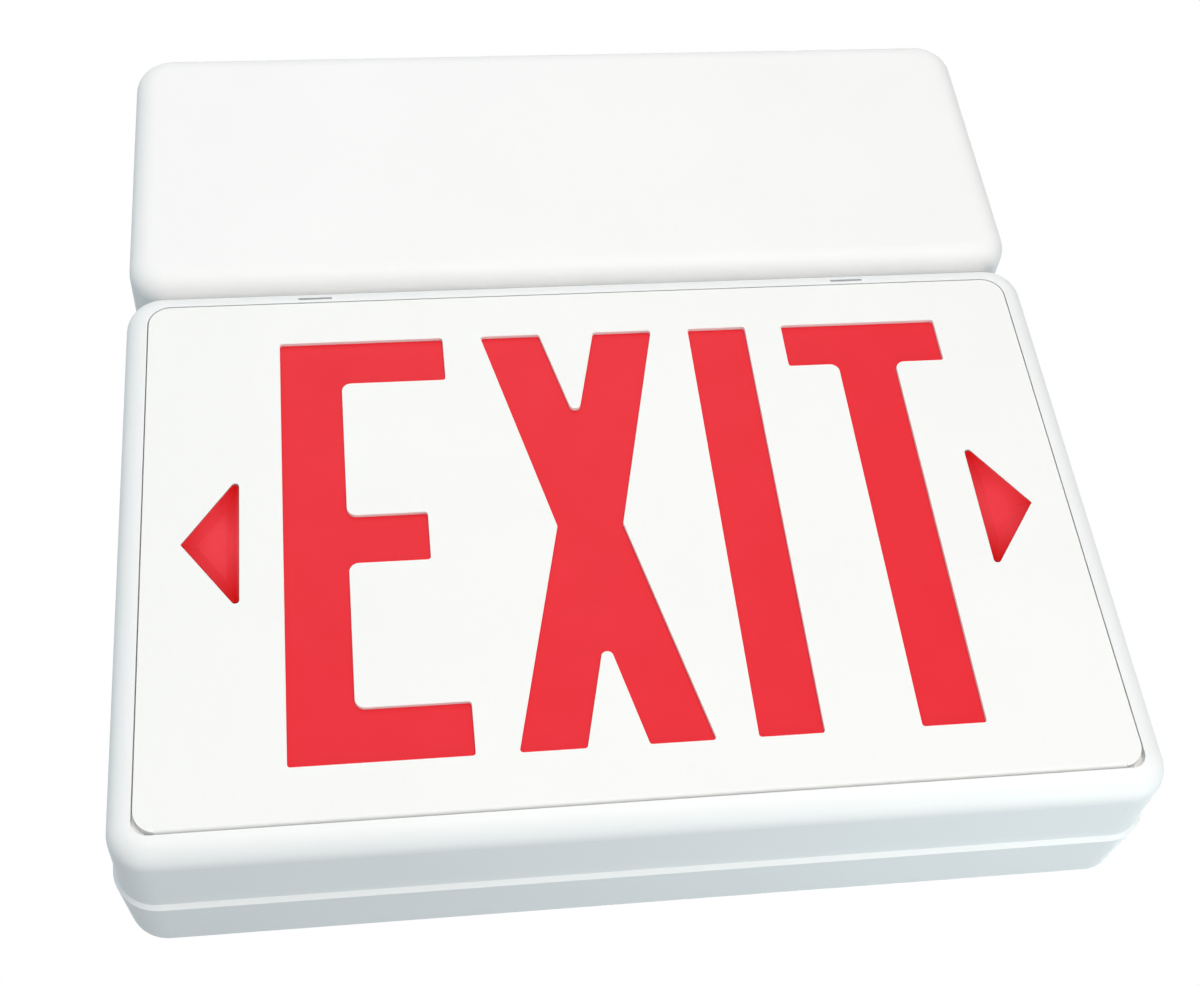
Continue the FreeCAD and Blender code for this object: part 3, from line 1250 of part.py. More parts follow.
def control_parts():
    """The test switch and its button, and the charge lamp, at the housing's right end."""
    board_face = size.sheet + size.standoff_height + size.board_thickness
    button_height = box_middle - size.button_z
    lamp_height = box_middle + size.lamp_z
    side = size.switch_side
    slab = block("switch_slab", switch_right - size.switch_length, board_face, button_height - side / 2,
                 size.switch_length, side, side)
    tip_radius = size.button_radius / 2
    tip_length = size.button_travel * 3
    well = rod("switch_well", "X", switch_right - tip_length * 2, size.button_depth, button_height,
               tip_radius + size.button_gap, tip_length * 2)
    switch = subtract("test_switch", slab, well)

    shoulder_x = cover_inside - size.button_gap - size.sheet
    stem = rod("button_stem", "X", shoulder_x, size.button_depth, button_height, size.button_radius,
               cover_width / 2 + size.button_proud - shoulder_x)
    shoulder = rod("button_shoulder", "X", shoulder_x, size.button_depth, button_height,
                   size.button_flange, size.sheet)
    tip = rod("button_tip", "X", switch_right - tip_length / 2, size.button_depth, button_height,
              tip_radius, shoulder_x - switch_right + tip_length / 2)
    button = join("test_button", [stem, shoulder, tip])

    spring = button_spring(switch_right, shoulder_x, button_height)

    lens_start = cover_inside - size.lamp_radius * 3
    lamp = rod("lamp_body", "X", lens_start, size.button_depth, lamp_height, size.lamp_radius,
               cover_width / 2 + size.lamp_radius / 2 - lens_start)
    foot_length = size.lamp_radius * 2
    foot = block("lamp_foot", lens_start - foot_length, board_face, lamp_height - size.lamp_radius,
                 foot_length, size.button_depth - board_face + size.lamp_radius, 2 * size.lamp_radius)
    charge_lamp = join("charge_lamp", [lamp, foot])
    bezel = tube("lamp_bezel", "X", cover_width / 2, size.button_depth, lamp_height,
                 size.bezel_radius, size.lamp_radius + size.thread_gap, size.sheet / 2)
    return [switch, button, spring, charge_lamp, bezel]


# ---------------------------------------------------------------------------------------------
# Build, check and write
# ---------------------------------------------------------------------------------------------
def build():
    seat = size.counterbore_depth
    nodes = [front_housing(), face_panel(), letter_lens(), arrow_lens("left_arrow_lens", -1),
             arrow_lens("right_arrow_lens", 1), back_housing(),
             screws("housing_screws", POSTS, seat, size.parting_depth - seat + size.screw_reach),
             reflector(), led_board("upper_led_board", 1), led_board("lower_led_board", -1),
             leds("upper_leds", 1), leds("lower_leds", -1), battery_cover(), back_pan(),
             side_screws("cover_screws")]
    nodes += joining_parts() + battery_parts() + transformer_parts() + [strap_screws("strap_screws")]
    nodes += circuit_parts() + control_parts()
    doc.recompute()
    return nodes


def check(nodes):
    """Stops if any object failed, or if a sub-part has no valid shape."""
    failed = [thing.Name for thing in doc.Objects if {"Invalid", "Error"} & set(thing.State)]
    if failed:
        raise ValueError(f"these objects failed: {failed}")
    for node in nodes:
        if node.Shape.isNull() or not node.Shape.isValid() or not node.Shape.Solids:
            raise ValueError(f"{node.Label} has no valid solid")


def write(nodes):
    os.makedirs("parts", exist_ok=True)
    for node in nodes:
        node.Shape.exportStep(f"parts/{node.Label}.step")
        box = node.Shape.BoundBox
        print(f"{node.Label}: {len(node.Shape.Solids)} solid(s), {node.Shape.Volume:.0f} mm3, "
              f"{box.XLength:.1f} x {box.YLength:.1f} x {box.ZLength:.1f}")


parts = build()
check(parts)
write(parts)
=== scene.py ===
# %% [markdown]
# # Emergency exit light
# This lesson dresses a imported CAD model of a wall-mounted exit sign. The solids are already right in
# size and place, so most of the work here is finish: moulded white plastic, red lenses, folded steel.
# The frame is loaded first, and everything else is measured from it.

# %% Load the frame
import json
import math
import bpy
import numpy as np
from mathutils import Matrix, Vector


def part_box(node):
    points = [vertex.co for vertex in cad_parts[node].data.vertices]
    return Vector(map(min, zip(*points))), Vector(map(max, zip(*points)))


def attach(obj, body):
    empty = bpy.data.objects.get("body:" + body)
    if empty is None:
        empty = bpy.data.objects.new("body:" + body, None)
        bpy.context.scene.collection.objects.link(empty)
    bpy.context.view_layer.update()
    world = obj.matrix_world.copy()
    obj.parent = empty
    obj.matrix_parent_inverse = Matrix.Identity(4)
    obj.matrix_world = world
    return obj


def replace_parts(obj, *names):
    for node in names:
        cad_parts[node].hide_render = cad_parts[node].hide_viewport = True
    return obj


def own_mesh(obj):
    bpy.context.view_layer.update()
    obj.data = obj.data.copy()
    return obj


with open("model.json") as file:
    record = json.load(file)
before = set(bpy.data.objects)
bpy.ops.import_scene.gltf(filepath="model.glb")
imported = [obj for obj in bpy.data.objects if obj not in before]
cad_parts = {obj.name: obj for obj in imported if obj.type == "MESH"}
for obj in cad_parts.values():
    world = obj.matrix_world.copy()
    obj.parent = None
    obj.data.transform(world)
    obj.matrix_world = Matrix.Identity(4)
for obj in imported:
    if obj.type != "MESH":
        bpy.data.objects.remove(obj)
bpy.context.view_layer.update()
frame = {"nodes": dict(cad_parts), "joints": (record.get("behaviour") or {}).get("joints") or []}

nodes = frame["nodes"]

# %% [markdown]
# ## Shader maths as Python
# A shader is a graph of nodes, and graphs are slow to read. Here a small class wraps one output
# socket, and its operators add the Math nodes, so a mask can be written as a plain expression such
# as `1 - stripe * rim`. The alternative, linking every node by hand, hides the idea behind the wiring.

# %% A socket that can be added, scaled and mixed
class Strand:
    """One output socket of a material's graph, with arithmetic that adds Math nodes."""

    def __init__(self, finish, socket):
        self.finish, self.socket = finish, socket

    def _math(self, operation, a, b=None, clamp=False):
        values = {0: a} if b is None else {0: a, 1: b}
        return self.finish.node("ShaderNodeMath", {"operation": operation, "use_clamp": clamp}, values)

    def __add__(self, other):
        return self._math("ADD", self, other)

    def __radd__(self, other):
        return self._math("ADD", other, self)

    def __sub__(self, other):
        return self._math("SUBTRACT", self, other)

    def __rsub__(self, other):
        return self._math("SUBTRACT", other, self)

    def __mul__(self, other):
        return self._math("MULTIPLY", self, other)

    def __rmul__(self, other):
        return self._math("MULTIPLY", other, self)

    def __truediv__(self, other):
        return self._math("DIVIDE", self, other)

    def __pow__(self, other):
        return self._math("POWER", self, other)

    def __gt__(self, other):
        return self._math("GREATER_THAN", self, other)

    def __lt__(self, other):
        return self._math("LESS_THAN", self, other)

    def __abs__(self):
        return self._math("ABSOLUTE", self)

    def clamp(self):
        return self._math("ADD", self, 0.0, clamp=True)

    def fraction(self):
        return self._math("FRACT", self)

    def sine(self):
        return self._math("SINE", self)

    def mix(self, low, high):
        """A colour that goes from low where this strand is 0 to high where it is 1."""
        return self.finish.node("ShaderNodeMix", {"data_type": "RGBA"}, {0: self, 6: low, 7: high}, out=2)

# %% One material and its graph
class Finish:
    """A material: its graph, its Principled shader, and the one method that adds any other node."""

    def __init__(self, name):
        self.material = bpy.data.materials.new(name)
        self.material.use_nodes = True
        self.tree = self.material.node_tree
        self.shader = next(n for n in self.tree.nodes if n.type == "BSDF_PRINCIPLED")

    def node(self, kind, settings=None, values=None, out=0):
        """Adds a node, sets it up, feeds its sockets with numbers or strands, and returns one output."""
        node = self.tree.nodes.new(kind)
        for key, value in (settings or {}).items():
            setattr(node, key, value)
        for key, value in (values or {}).items():
            self.feed(node.inputs[key], value)
        return Strand(self, node.outputs[out])

    def feed(self, socket, value):
        if isinstance(value, Strand):
            self.tree.links.new(value.socket, socket)
        else:
            socket.default_value = value

    def set(self, **values):
        """Sets or links the shader's own sockets, named with underscores for spaces."""
        for key, value in values.items():
            self.feed(self.shader.inputs[key.replace("_", " ")], value)
        return self.material

    def place(self, scale=(1, 1, 1), turn=(0, 0, 0)):
        """Object coordinates in metres, stretched and turned for a pattern."""
        spot = self.node("ShaderNodeTexCoord", out=3)
        return self.node("ShaderNodeMapping", {}, {"Vector": spot, "Scale": scale, "Rotation": turn})

    def axes(self):
        """The x, y and z of each point, in metres, as three strands."""
        spot = self.node("ShaderNodeTexCoord", out=3)
        return [self.node("ShaderNodeSeparateXYZ", {}, {0: spot}, out=i) for i in range(3)]

    def noise(self, size, detail=2.0, rough=0.5, scale=(1, 1, 1)):
        """Noise whose lumps are about size metres across, from 0 to 1."""
        return self.node("ShaderNodeTexNoise", {}, {"Vector": self.place(scale), "Scale": 1.0 / size,
                                                    "Detail": detail, "Roughness": rough})

    def bump(self, height, depth, under=None):
        """A normal from a height field, with depth in metres for a height of 1."""
        values = {"Height": height, "Strength": 1.0, "Distance": depth}
        if under is not None:
            values["Normal"] = under
        return self.node("ShaderNodeBump", {}, values)

    @staticmethod
    def ring(a, b, centre, radius, soft=0.0001):
        """1 inside a circle of the radius round centre in the plane of strands a and b, 0 outside."""
        away = ((a - centre[0]) ** 2 + (b - centre[1]) ** 2) ** 0.5
        return ((radius - away) / soft + 0.5).clamp()


def dress(material, *names):
    """Gives one finish to CAD nodes through their objects' slots, leaving the meshes alone."""
    for name in names:
        thing = nodes[name]
        if not thing.material_slots:
            thing.data.materials.append(material)
        slot = thing.material_slots[0]
        slot.link = "OBJECT"
        slot.material = material
    print(material.name, "on", ", ".join(names))

# %% [markdown]
# ## White moulded plastic
# The two sign housings, the battery cover and the stencil are injection moulded, and the mould was
# spark eroded, which leaves a fine matte grain that takes the shine off. A tiny noise bump gives the
# grain, and a wide, faint change of tone keeps the big faces from looking like paper. A real texture
# file could do the same, but noise on object coordinates never stretches and needs no unwrapping.

# %% Moulded white
def moulded_white(name, colour, grain, depth, rough):
    finish = Finish(name)
    cloud = finish.noise(0.05, 3.0)
    speck = finish.noise(grain, 2.0, 0.6)
    fleck = (finish.noise(0.0021, 1.0) - 0.66).clamp() * 1.6
    tone = ((cloud - 0.5) * 0.8 + 0.55).clamp() - fleck
    darker = tuple(c * 0.955 for c in colour[:3]) + (1.0,)
    return finish.set(Base_Color=tone.clamp().mix(darker, colour), Roughness=rough + (speck - 0.5) * 0.14,
                      Normal=finish.bump(speck, depth), IOR=1.47, Specular_IOR_Level=0.35)

housing_white = moulded_white("housing_white", (0.85, 0.865, 0.87, 1.0), 0.0006, 0.000018, 0.48)
cover_white = moulded_white("cover_white", (0.865, 0.87, 0.87, 1.0), 0.0008, 0.000024, 0.52)
stencil_white = moulded_white("stencil_white", (0.86, 0.87, 0.86, 1.0), 0.0007, 0.000016, 0.50)
dress(housing_white, "front_housing", "back_housing")
dress(cover_white, "battery_cover")
dress(stencil_white, "face_panel")

# %% [markdown]
# ## Red lenses
# The word is one flat sheet of red acrylic behind the stencil, and each chevron is a small dished
# plug. Both are coloured all through. The word looks even; the chevrons darken towards their
# corners, where the dish turns away and less light gets in. That darkening is painted shade in the
# base colour: a mask worked out from each point's distance to the middle of its chevron, so it stays
# put from every side.

# %% Word lens
def word_red():
    finish = Finish("word_red")
    cloud = finish.noise(0.018, 3.0)
    pebble = finish.noise(0.0012, 1.0)
    return finish.set(Base_Color=cloud.mix((0.735, 0.022, 0.034, 1.0), (0.765, 0.029, 0.044, 1.0)),
                      Roughness=0.36 + (pebble - 0.5) * 0.08, Normal=finish.bump(pebble, 0.000010),
                      IOR=1.49, Specular_IOR_Level=0.10)

dress(word_red(), "letter_lens")

# %% Chevron lenses
chevron_low, chevron_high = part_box("right_arrow_lens")
even_share = 0.36
chevron_x = chevron_low[0] + (chevron_high[0] - chevron_low[0]) * even_share
dish_half_width, dish_half_height, even_radius = 0.0125, 0.0200, 0.28

def chevron_red():
    finish = Finish("chevron_red")
    x, _, z = finish.axes()
    across, along = (abs(x) - chevron_x) / dish_half_width, z / dish_half_height
    away = (across * across + along * along) ** 0.5
    # painted shade: the base colour darkens to a deep red towards each chevron's corners, standing in for
    # the shade inside the dish
    painted_corner_shade = ((away - even_radius) * 1.3).clamp()
    cloud = finish.noise(0.006, 2.0)
    even = cloud.mix((0.750, 0.036, 0.050, 1.0), (0.780, 0.046, 0.062, 1.0))
    return finish.set(Base_Color=painted_corner_shade.mix(even, (0.56, 0.002, 0.002, 1.0)),
                      Roughness=0.34 + painted_corner_shade * 0.06, Normal=finish.bump(cloud, 0.000010),
                      IOR=1.49, Specular_IOR_Level=0.08)

dress(chevron_red(), "left_arrow_lens", "right_arrow_lens")
print("chevron middle", round(chevron_x, 4))

# %% [markdown]
# ## Reflector and powder-coated pan
# Behind the stencil lies a vacuum-formed tray in glossy white, which spreads the light of two rows of
# LEDs. The battery housing closes on a folded steel pan with a white powder coat. Powder flows as it
# cures and leaves a slight orange peel: lumps of about a millimetre, a few hundredths deep.

# %% Tray and pan finishes
def reflector_gloss():
    finish = Finish("reflector_gloss")
    ripple = finish.noise(0.022, 2.0)
    dust = finish.noise(0.0016, 3.0, 0.7)
    return finish.set(Base_Color=dust.mix((0.83, 0.83, 0.83, 1.0), (0.90, 0.90, 0.895, 1.0)),
                      Roughness=0.20 + dust * 0.10, Normal=finish.bump(ripple, 0.00012),
                      IOR=1.5, Coat_Roughness=0.08)

def powder_coat():
    finish = Finish("powder_coat")
    peel = finish.noise(0.0014, 1.0)
    cloud = finish.noise(0.04, 2.0)
    return finish.set(Base_Color=cloud.mix((0.74, 0.75, 0.755, 1.0), (0.80, 0.81, 0.815, 1.0)),
                      Roughness=0.34 + (peel - 0.5) * 0.12, Normal=finish.bump(peel, 0.00003), IOR=1.5)

dress(reflector_gloss(), "reflector")
dress(powder_coat(), "back_pan")

# %% [markdown]
# ## Metals
# Zinc plating is grey with a faint cloudiness; brass is warmer and shows the rings that a lathe left;
# aluminium from a rolled sheet shows fine straight lines. In each, a stretched noise drives roughness
# and a shallow bump, because on bare metal it is the reflection that carries the grain, not colour.

# %% Zinc, brass, aluminium and chrome
def metal(name, colour, tint, rough, grain, stretch, depth):
    finish = Finish(name)
    line = finish.noise(grain, 3.0, 0.6, stretch)
    cloud = finish.noise(0.009, 3.0)
    return finish.set(Base_Color=cloud.mix(tint, colour), Metallic=1.0,
                      Roughness=rough + (line - 0.5) * 0.22, Normal=finish.bump(line, depth))

zinc = metal("zinc_plate", (0.70, 0.71, 0.72, 1.0), (0.58, 0.59, 0.60, 1.0), 0.36, 0.0009,
             (1, 1, 1), 0.000008)
strap_zinc = metal("rolled_zinc", (0.68, 0.69, 0.71, 1.0), (0.57, 0.58, 0.61, 1.0), 0.34, 0.0022,
                   (1, 1, 9), 0.000010)
brass = metal("turned_brass", (0.80, 0.60, 0.28, 1.0), (0.66, 0.47, 0.20, 1.0), 0.30, 0.0022,
              (0.2, 8, 0.2), 0.000010)
aluminium = metal("sheet_aluminium", (0.74, 0.75, 0.77, 1.0), (0.65, 0.66, 0.68, 1.0), 0.38, 0.0022,
                  (9, 9, 0.5), 0.000010)
chrome = metal("bright_chrome", (0.80, 0.81, 0.83, 1.0), (0.74, 0.75, 0.78, 1.0), 0.15, 0.0015,
               (1, 1, 1), 0.000003)
spring_steel = metal("spring_steel", (0.56, 0.55, 0.54, 1.0), (0.44, 0.43, 0.42, 1.0), 0.30, 0.0008,
                     (1, 1, 1), 0.000005)
dress(zinc, "spacer_washers", "locknuts")
dress(strap_zinc, "battery_strap", "transformer_frame")
dress(brass, "board_standoffs", "fuse_clips")
dress(aluminium, "heat_sink")
dress(chrome, "lamp_bezel")
dress(spring_steel, "button_spring")

# %% [markdown]
# The two nipples that join the housings are cut with a running thread. It is too fine to be worth
# modelling inside the housings, so a helix of bump does it: the height is a sine of the distance
# along the axis. A true helix also turns with the angle, which nobody sees at this pitch.

# %% Threaded nipples
nipple_pitch = 0.0018

def threaded_zinc():
    finish = Finish("threaded_zinc")
    _, _, z = finish.axes()
    ridge = (z * (2 * math.pi / nipple_pitch)).sine() * 0.5 + 0.5
    cloud = finish.noise(0.006, 3.0)
    shade = cloud.mix((0.52, 0.53, 0.54, 1.0), (0.68, 0.69, 0.70, 1.0))
    return finish.set(Base_Color=shade, Metallic=1.0, Roughness=0.30 + ridge * 0.16,
                      Normal=finish.bump(ridge, 0.0005))

dress(threaded_zinc(), "joining_nipples")

# %% [markdown]
# ## Circuit boards
# A board is glass cloth and resin under green solder mask. Copper tracks show through the mask as
# lighter, slightly raised lines, and pads are bare solder. On the LED strips the pattern is regular,
# so it is written out: two tracks along the strip and two pads under each LED. The charger board
# gets an orthogonal maze from a brick pattern, whose mortar stands for the tracks.

# %% Board finishes
def board_green(name, track, pad):
    """A board from two masks: raised tracks under the mask, and bare soldered pads."""
    finish = Finish(name)
    tracks, pads = track(finish), pad(finish)
    weave = finish.noise(0.0007, 1.0)
    base = weave.mix((0.012, 0.120, 0.050, 1.0), (0.018, 0.150, 0.062, 1.0))
    green = tracks.mix(base, (0.045, 0.260, 0.110, 1.0))
    height = tracks * 0.5 + pads + weave * 0.04
    return finish.set(Base_Color=pads.mix(green, (0.72, 0.70, 0.66, 1.0)), Metallic=pads,
                      Roughness=0.30 + pads * 0.12, Normal=finish.bump(height, 0.00006), IOR=1.5)

strip_low, strip_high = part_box("upper_led_board")
led_low, led_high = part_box("upper_leds")
led_radius = (led_high[1] - led_low[1]) / 2
led_count = 8
led_pitch = (led_high[0] - led_low[0] - 2 * led_radius) / (led_count - 1)
strip_y = (strip_low[1] + strip_high[1]) / 2
track_offset, track_half_width = 0.0040, 0.0006
strip_pad_x, strip_pad_y, strip_pad_radius = 0.0036, 0.0025, 0.0009
edge_width = 0.0001

def strip_tracks(finish):
    _, y, _ = finish.axes()
    return ((track_half_width - abs(abs(y - strip_y) - track_offset)) / edge_width).clamp()

def strip_pads(finish):
    x, y, _ = finish.axes()
    along = ((x - led_low[0] - led_radius) / led_pitch + 0.5).fraction() - 0.5
    beside = abs(along) * led_pitch - strip_pad_x
    away = (beside * beside + (abs(y - strip_y) - strip_pad_y) ** 2) ** 0.5
    return ((strip_pad_radius - away) / edge_width).clamp()

dress(board_green("led_strip_green", strip_tracks, strip_pads), "upper_led_board", "lower_led_board")
print("LED pitch", round(led_pitch * 1000, 2), "mm")

def maze_tracks(finish):
    where = finish.place(turn=(math.pi / 2, 0, 0))
    return finish.node("ShaderNodeTexBrick", {"offset": 0.37, "squash": 1.6, "squash_frequency": 3},
                       {"Vector": where, "Scale": 1.0, "Mortar Size": 0.0005, "Mortar Smooth": 0.2,
                        "Brick Width": 0.0092, "Row Height": 0.0034}, out=1)

def maze_pads(finish):
    x, _, z = finish.axes()
    step, pad_radius = 0.00508, 0.0008
    a = ((x / step).fraction() - 0.5) * step
    b = ((z / step).fraction() - 0.5) * step
    here = finish.noise(0.011, 1.0) > 0.52
    return ((pad_radius - (a * a + b * b) ** 0.5) / edge_width).clamp() * here

dress(board_green("charger_green", maze_tracks, maze_pads), "charger_board")

# %% [markdown]
# ## What stands in the battery housing
# Each part has the finish that its maker gives it: cells in blue shrink sleeve with bare ends, a
# transformer of varnished laminations with yellow tape round its coil, dark moulded plastic, a green
# terminal block, and a glass fuse with plated caps. Their masks are measured from the CAD boxes.

# %% Battery sleeve
cell_low, cell_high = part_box("battery_pack")
cell_count = 3
cell_pitch = (cell_high[0] - cell_low[0]) / cell_count
cell_middle = [(a + b) / 2 for a, b in zip(cell_low, cell_high)]
bare_radius, end_skin, straight_half = cell_pitch * 0.36, 0.0002, 0.014

def battery_sleeve():
    finish = Finish("battery_sleeve")
    x, y, z = finish.axes()
    across = (((x - cell_low[0]) / cell_pitch).fraction() - 0.5) * cell_pitch
    away = (across * across + (y - cell_middle[1]) ** 2) ** 0.5
    end = abs(z - cell_middle[2]) > (cell_high[2] - cell_low[2]) / 2 - end_skin
    bare = ((bare_radius - away) / 0.0003 + 0.5).clamp() * end
    crease = finish.noise(0.006, 3.0, 0.6, (1, 1, 0.25))
    shrink = ((abs(z - cell_middle[2]) - straight_half) * 90.0).clamp()
    blue = crease.mix((0.030, 0.090, 0.300, 1.0), (0.045, 0.130, 0.400, 1.0))
    puckered = finish.bump(crease * (0.25 + shrink), 0.0005)
    return finish.set(Base_Color=bare.mix(blue, (0.66, 0.66, 0.64, 1.0)), Metallic=bare,
                      Roughness=0.24 + crease * 0.14, Normal=puckered)

dress(battery_sleeve(), "battery_pack")
print("cell pitch", round(cell_pitch * 1000, 2), "mm")

# %% Laminations and tape
sheet_pitch, lap_pitch, lap_lean = 0.0005, 0.0085, 0.08

def laminations():
    finish = Finish("laminations")
    _, _, z = finish.axes()
    edge = (z * (2 * math.pi / sheet_pitch)).sine() * 0.5 + 0.5
    varnish = finish.noise(0.004, 3.0)
    brown = varnish.mix((0.085, 0.075, 0.068, 1.0), (0.170, 0.155, 0.140, 1.0))
    return finish.set(Base_Color=(edge * 0.35).mix(brown, (0.30, 0.29, 0.28, 1.0)), Metallic=0.6,
                      Roughness=0.36 + varnish * 0.16, Normal=finish.bump(edge, 0.00008))

def winding_tape():
    finish = Finish("winding_tape")
    _, y, z = finish.axes()
    lap = ((z + y * lap_lean) / lap_pitch).fraction()
    seam = ((0.05 - abs(lap - 0.5)) * 20.0).clamp()
    wrinkle = finish.noise(0.005, 3.0, 0.6, (0.4, 0.4, 2.5))
    yellow = wrinkle.mix((0.62, 0.40, 0.045, 1.0), (0.74, 0.50, 0.070, 1.0))
    return finish.set(Base_Color=(seam * 0.5).mix(yellow, (0.40, 0.25, 0.03, 1.0)),
                      Roughness=0.30 + wrinkle * 0.14,
                      Normal=finish.bump(wrinkle * 0.6 + lap * 0.8, 0.00025))

dress(laminations(), "transformer_core")
dress(winding_tape(), "transformer_coil")

# %% Moulded small parts
def moulded_small(name, low, high, rough, grain, depth):
    finish = Finish(name)
    speck = finish.noise(grain, 2.0, 0.6)
    cloud = finish.noise(0.008, 2.0)
    return finish.set(Base_Color=cloud.mix(low, high), Roughness=rough + (speck - 0.5) * 0.16,
                      Normal=finish.bump(speck, depth), IOR=1.48)

dress(moulded_small("relay_blue", (0.020, 0.060, 0.180, 1.0), (0.030, 0.085, 0.240, 1.0),
                    0.34, 0.0005, 0.00001), "relay")
dress(moulded_small("switch_black", (0.016, 0.016, 0.018, 1.0), (0.030, 0.030, 0.032, 1.0),
                    0.42, 0.0006, 0.00002), "test_switch")

# %% Capacitor sleeves
def capacitor_sleeve():
    finish = Finish("capacitor_sleeve")
    low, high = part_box("capacitors")
    radius = (high[2] - low[2]) / 2
    pitch = high[0] - low[0] - 2 * radius
    x, y, z = finish.axes()
    middle = (low[2] + high[2]) / 2
    a = abs(x - (low[0] + high[0]) / 2) - pitch / 2
    b = z - middle
    away = (a * a + b * b) ** 0.5
    top_radius, top_skin, score_half, stripe_half = radius * 0.80, 0.0003, 0.0004, 0.0014
    top = (y < low[1] + top_skin) * ((top_radius - away) / 0.0002 + 0.5).clamp()
    upright, level = (((score_half - abs(strand)) / edge_width).clamp() for strand in (a, b))
    score = top * (upright + level).clamp()
    stripe = ((stripe_half - abs(a)) / 0.0002).clamp() * (z < middle)
    rub = finish.noise(0.003, 2.0)
    sleeve = stripe.mix((0.018, 0.022, 0.045, 1.0), (0.42, 0.44, 0.48, 1.0))
    return finish.set(Base_Color=top.mix(sleeve, (0.70, 0.70, 0.71, 1.0)), Metallic=top,
                      Roughness=0.26 + rub * 0.14, Normal=finish.bump(rub * 0.1 - score, 0.0003))

dress(capacitor_sleeve(), "capacitors")

# %% Terminal block
def terminal_green():
    finish = Finish("terminal_green")
    low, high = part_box("terminal_block")
    ways = 6
    pitch = (high[0] - low[0]) / ways
    x, y, z = finish.axes()
    across = (((x - low[0]) / pitch).fraction() - 0.5) * pitch
    well = (low[2] + high[2]) / 2
    away = (across * across + (z - well) ** 2) ** 0.5
    well_depth, screw_radius, slot_half, rib_half = 0.002, 0.0016, 0.0003, 0.0003
    screw = ((screw_radius - away) / 0.0002 + 0.5).clamp() * (y > low[1] + well_depth)
    slot = screw * ((slot_half - abs(across)) / edge_width).clamp()
    rib = ((rib_half - (pitch / 2 - abs(across))) / edge_width).clamp()
    speck = finish.noise(0.0006, 2.0)
    green = speck.mix((0.020, 0.190, 0.065, 1.0), (0.030, 0.240, 0.085, 1.0))
    return finish.set(Base_Color=screw.mix(green, (0.62, 0.62, 0.63, 1.0)), Metallic=screw,
                      Roughness=0.40 + speck * 0.10,
                      Normal=finish.bump(speck * 0.05 - rib * 0.5 - slot, 0.0003))

dress(terminal_green(), "terminal_block")

# %% Fuse
def fuse_glass():
    finish = Finish("fuse_glass")
    low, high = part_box("fuse")
    x, _, _ = finish.axes()
    cap_length, crimp_pitch = 0.0052, 0.0011
    cap = abs(x - (low[0] + high[0]) / 2) > (high[0] - low[0]) / 2 - cap_length
    haze = finish.noise(0.003, 3.0)
    glass = haze.mix((0.72, 0.78, 0.80, 1.0), (0.84, 0.88, 0.90, 1.0))
    crimp = cap * ((x / crimp_pitch).fraction() > 0.85)
    return finish.set(Base_Color=cap.mix(glass, (0.72, 0.71, 0.68, 1.0)), Metallic=cap,
                      Roughness=0.06 + cap * 0.20 + haze * 0.05, Alpha=0.35 + cap * 0.65,
                      Normal=finish.bump(haze * 0.05 - crimp, 0.0001), IOR=1.5)

dress(fuse_glass(), "fuse")

# %% [markdown]
# ## Test button, lamp and LEDs
# The test button is glossy red with a shallow dish turned into its end. The charge lamp and the LEDs
# are clear red epoxy, glossy outside. The lamp is darker in the middle where the leads and the die
# show through; the LEDs are lighter and more orange in the middle.

# %% Button and lamp finishes
def button_red():
    finish = Finish("button_red")
    low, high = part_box("test_button")
    _, y, z = finish.axes()
    middle = ((low[1] + high[1]) / 2, (low[2] + high[2]) / 2)
    dish_radius, dish_edge = 0.0026, 0.0008
    dish = finish.ring(y, z, middle, dish_radius, dish_edge)
    speck = finish.noise(0.0007, 2.0)
    worn = finish.noise(0.004, 2.0)
    return finish.set(Base_Color=(worn * 0.6).mix((0.60, 0.018, 0.016, 1.0), (0.68, 0.030, 0.026, 1.0)),
                      Roughness=0.28 + speck * 0.12, Normal=finish.bump(speck * 0.04 - dish, 0.0003),
                      IOR=1.49)

def clear_red(name, colour, core, radius, centre):
    """Clear epoxy with a darker core, whose axis runs along X through the y and z of centre."""
    finish = Finish(name)
    _, y, z = finish.axes()
    inside = finish.ring(y, z, centre, radius, radius)
    swirl = finish.noise(0.002, 2.0)
    return finish.set(Base_Color=inside.mix(colour, core), Roughness=0.10 + swirl * 0.06,
                      Normal=finish.bump(swirl, 0.00001), IOR=1.55, Coat_Weight=0.4, Coat_Roughness=0.04)

lamp_low, lamp_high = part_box("charge_lamp")
lamp_middle = ((lamp_low[1] + lamp_high[1]) / 2, (lamp_low[2] + lamp_high[2]) / 2)
lamp_core_radius = 0.0012
lamp_epoxy = clear_red("lamp_epoxy", (0.52, 0.020, 0.018, 1.0), (0.30, 0.008, 0.008, 1.0),
                       lamp_core_radius, lamp_middle)
dress(button_red(), "test_button")
dress(lamp_epoxy, "charge_lamp")

# %% [markdown]
# ## Lathe surfaces
# Screws and LEDs are round, so each is a profile turned about an axis. The profile is a list of radii
# and heights; the surface is the grid of every profile point at every angle, worked out as one array.
# Blender's Spin tool would turn the profile too, but arrays let the radius change with the angle as
# well, and that is all a screw thread is. The first and last rings close on a single point each.

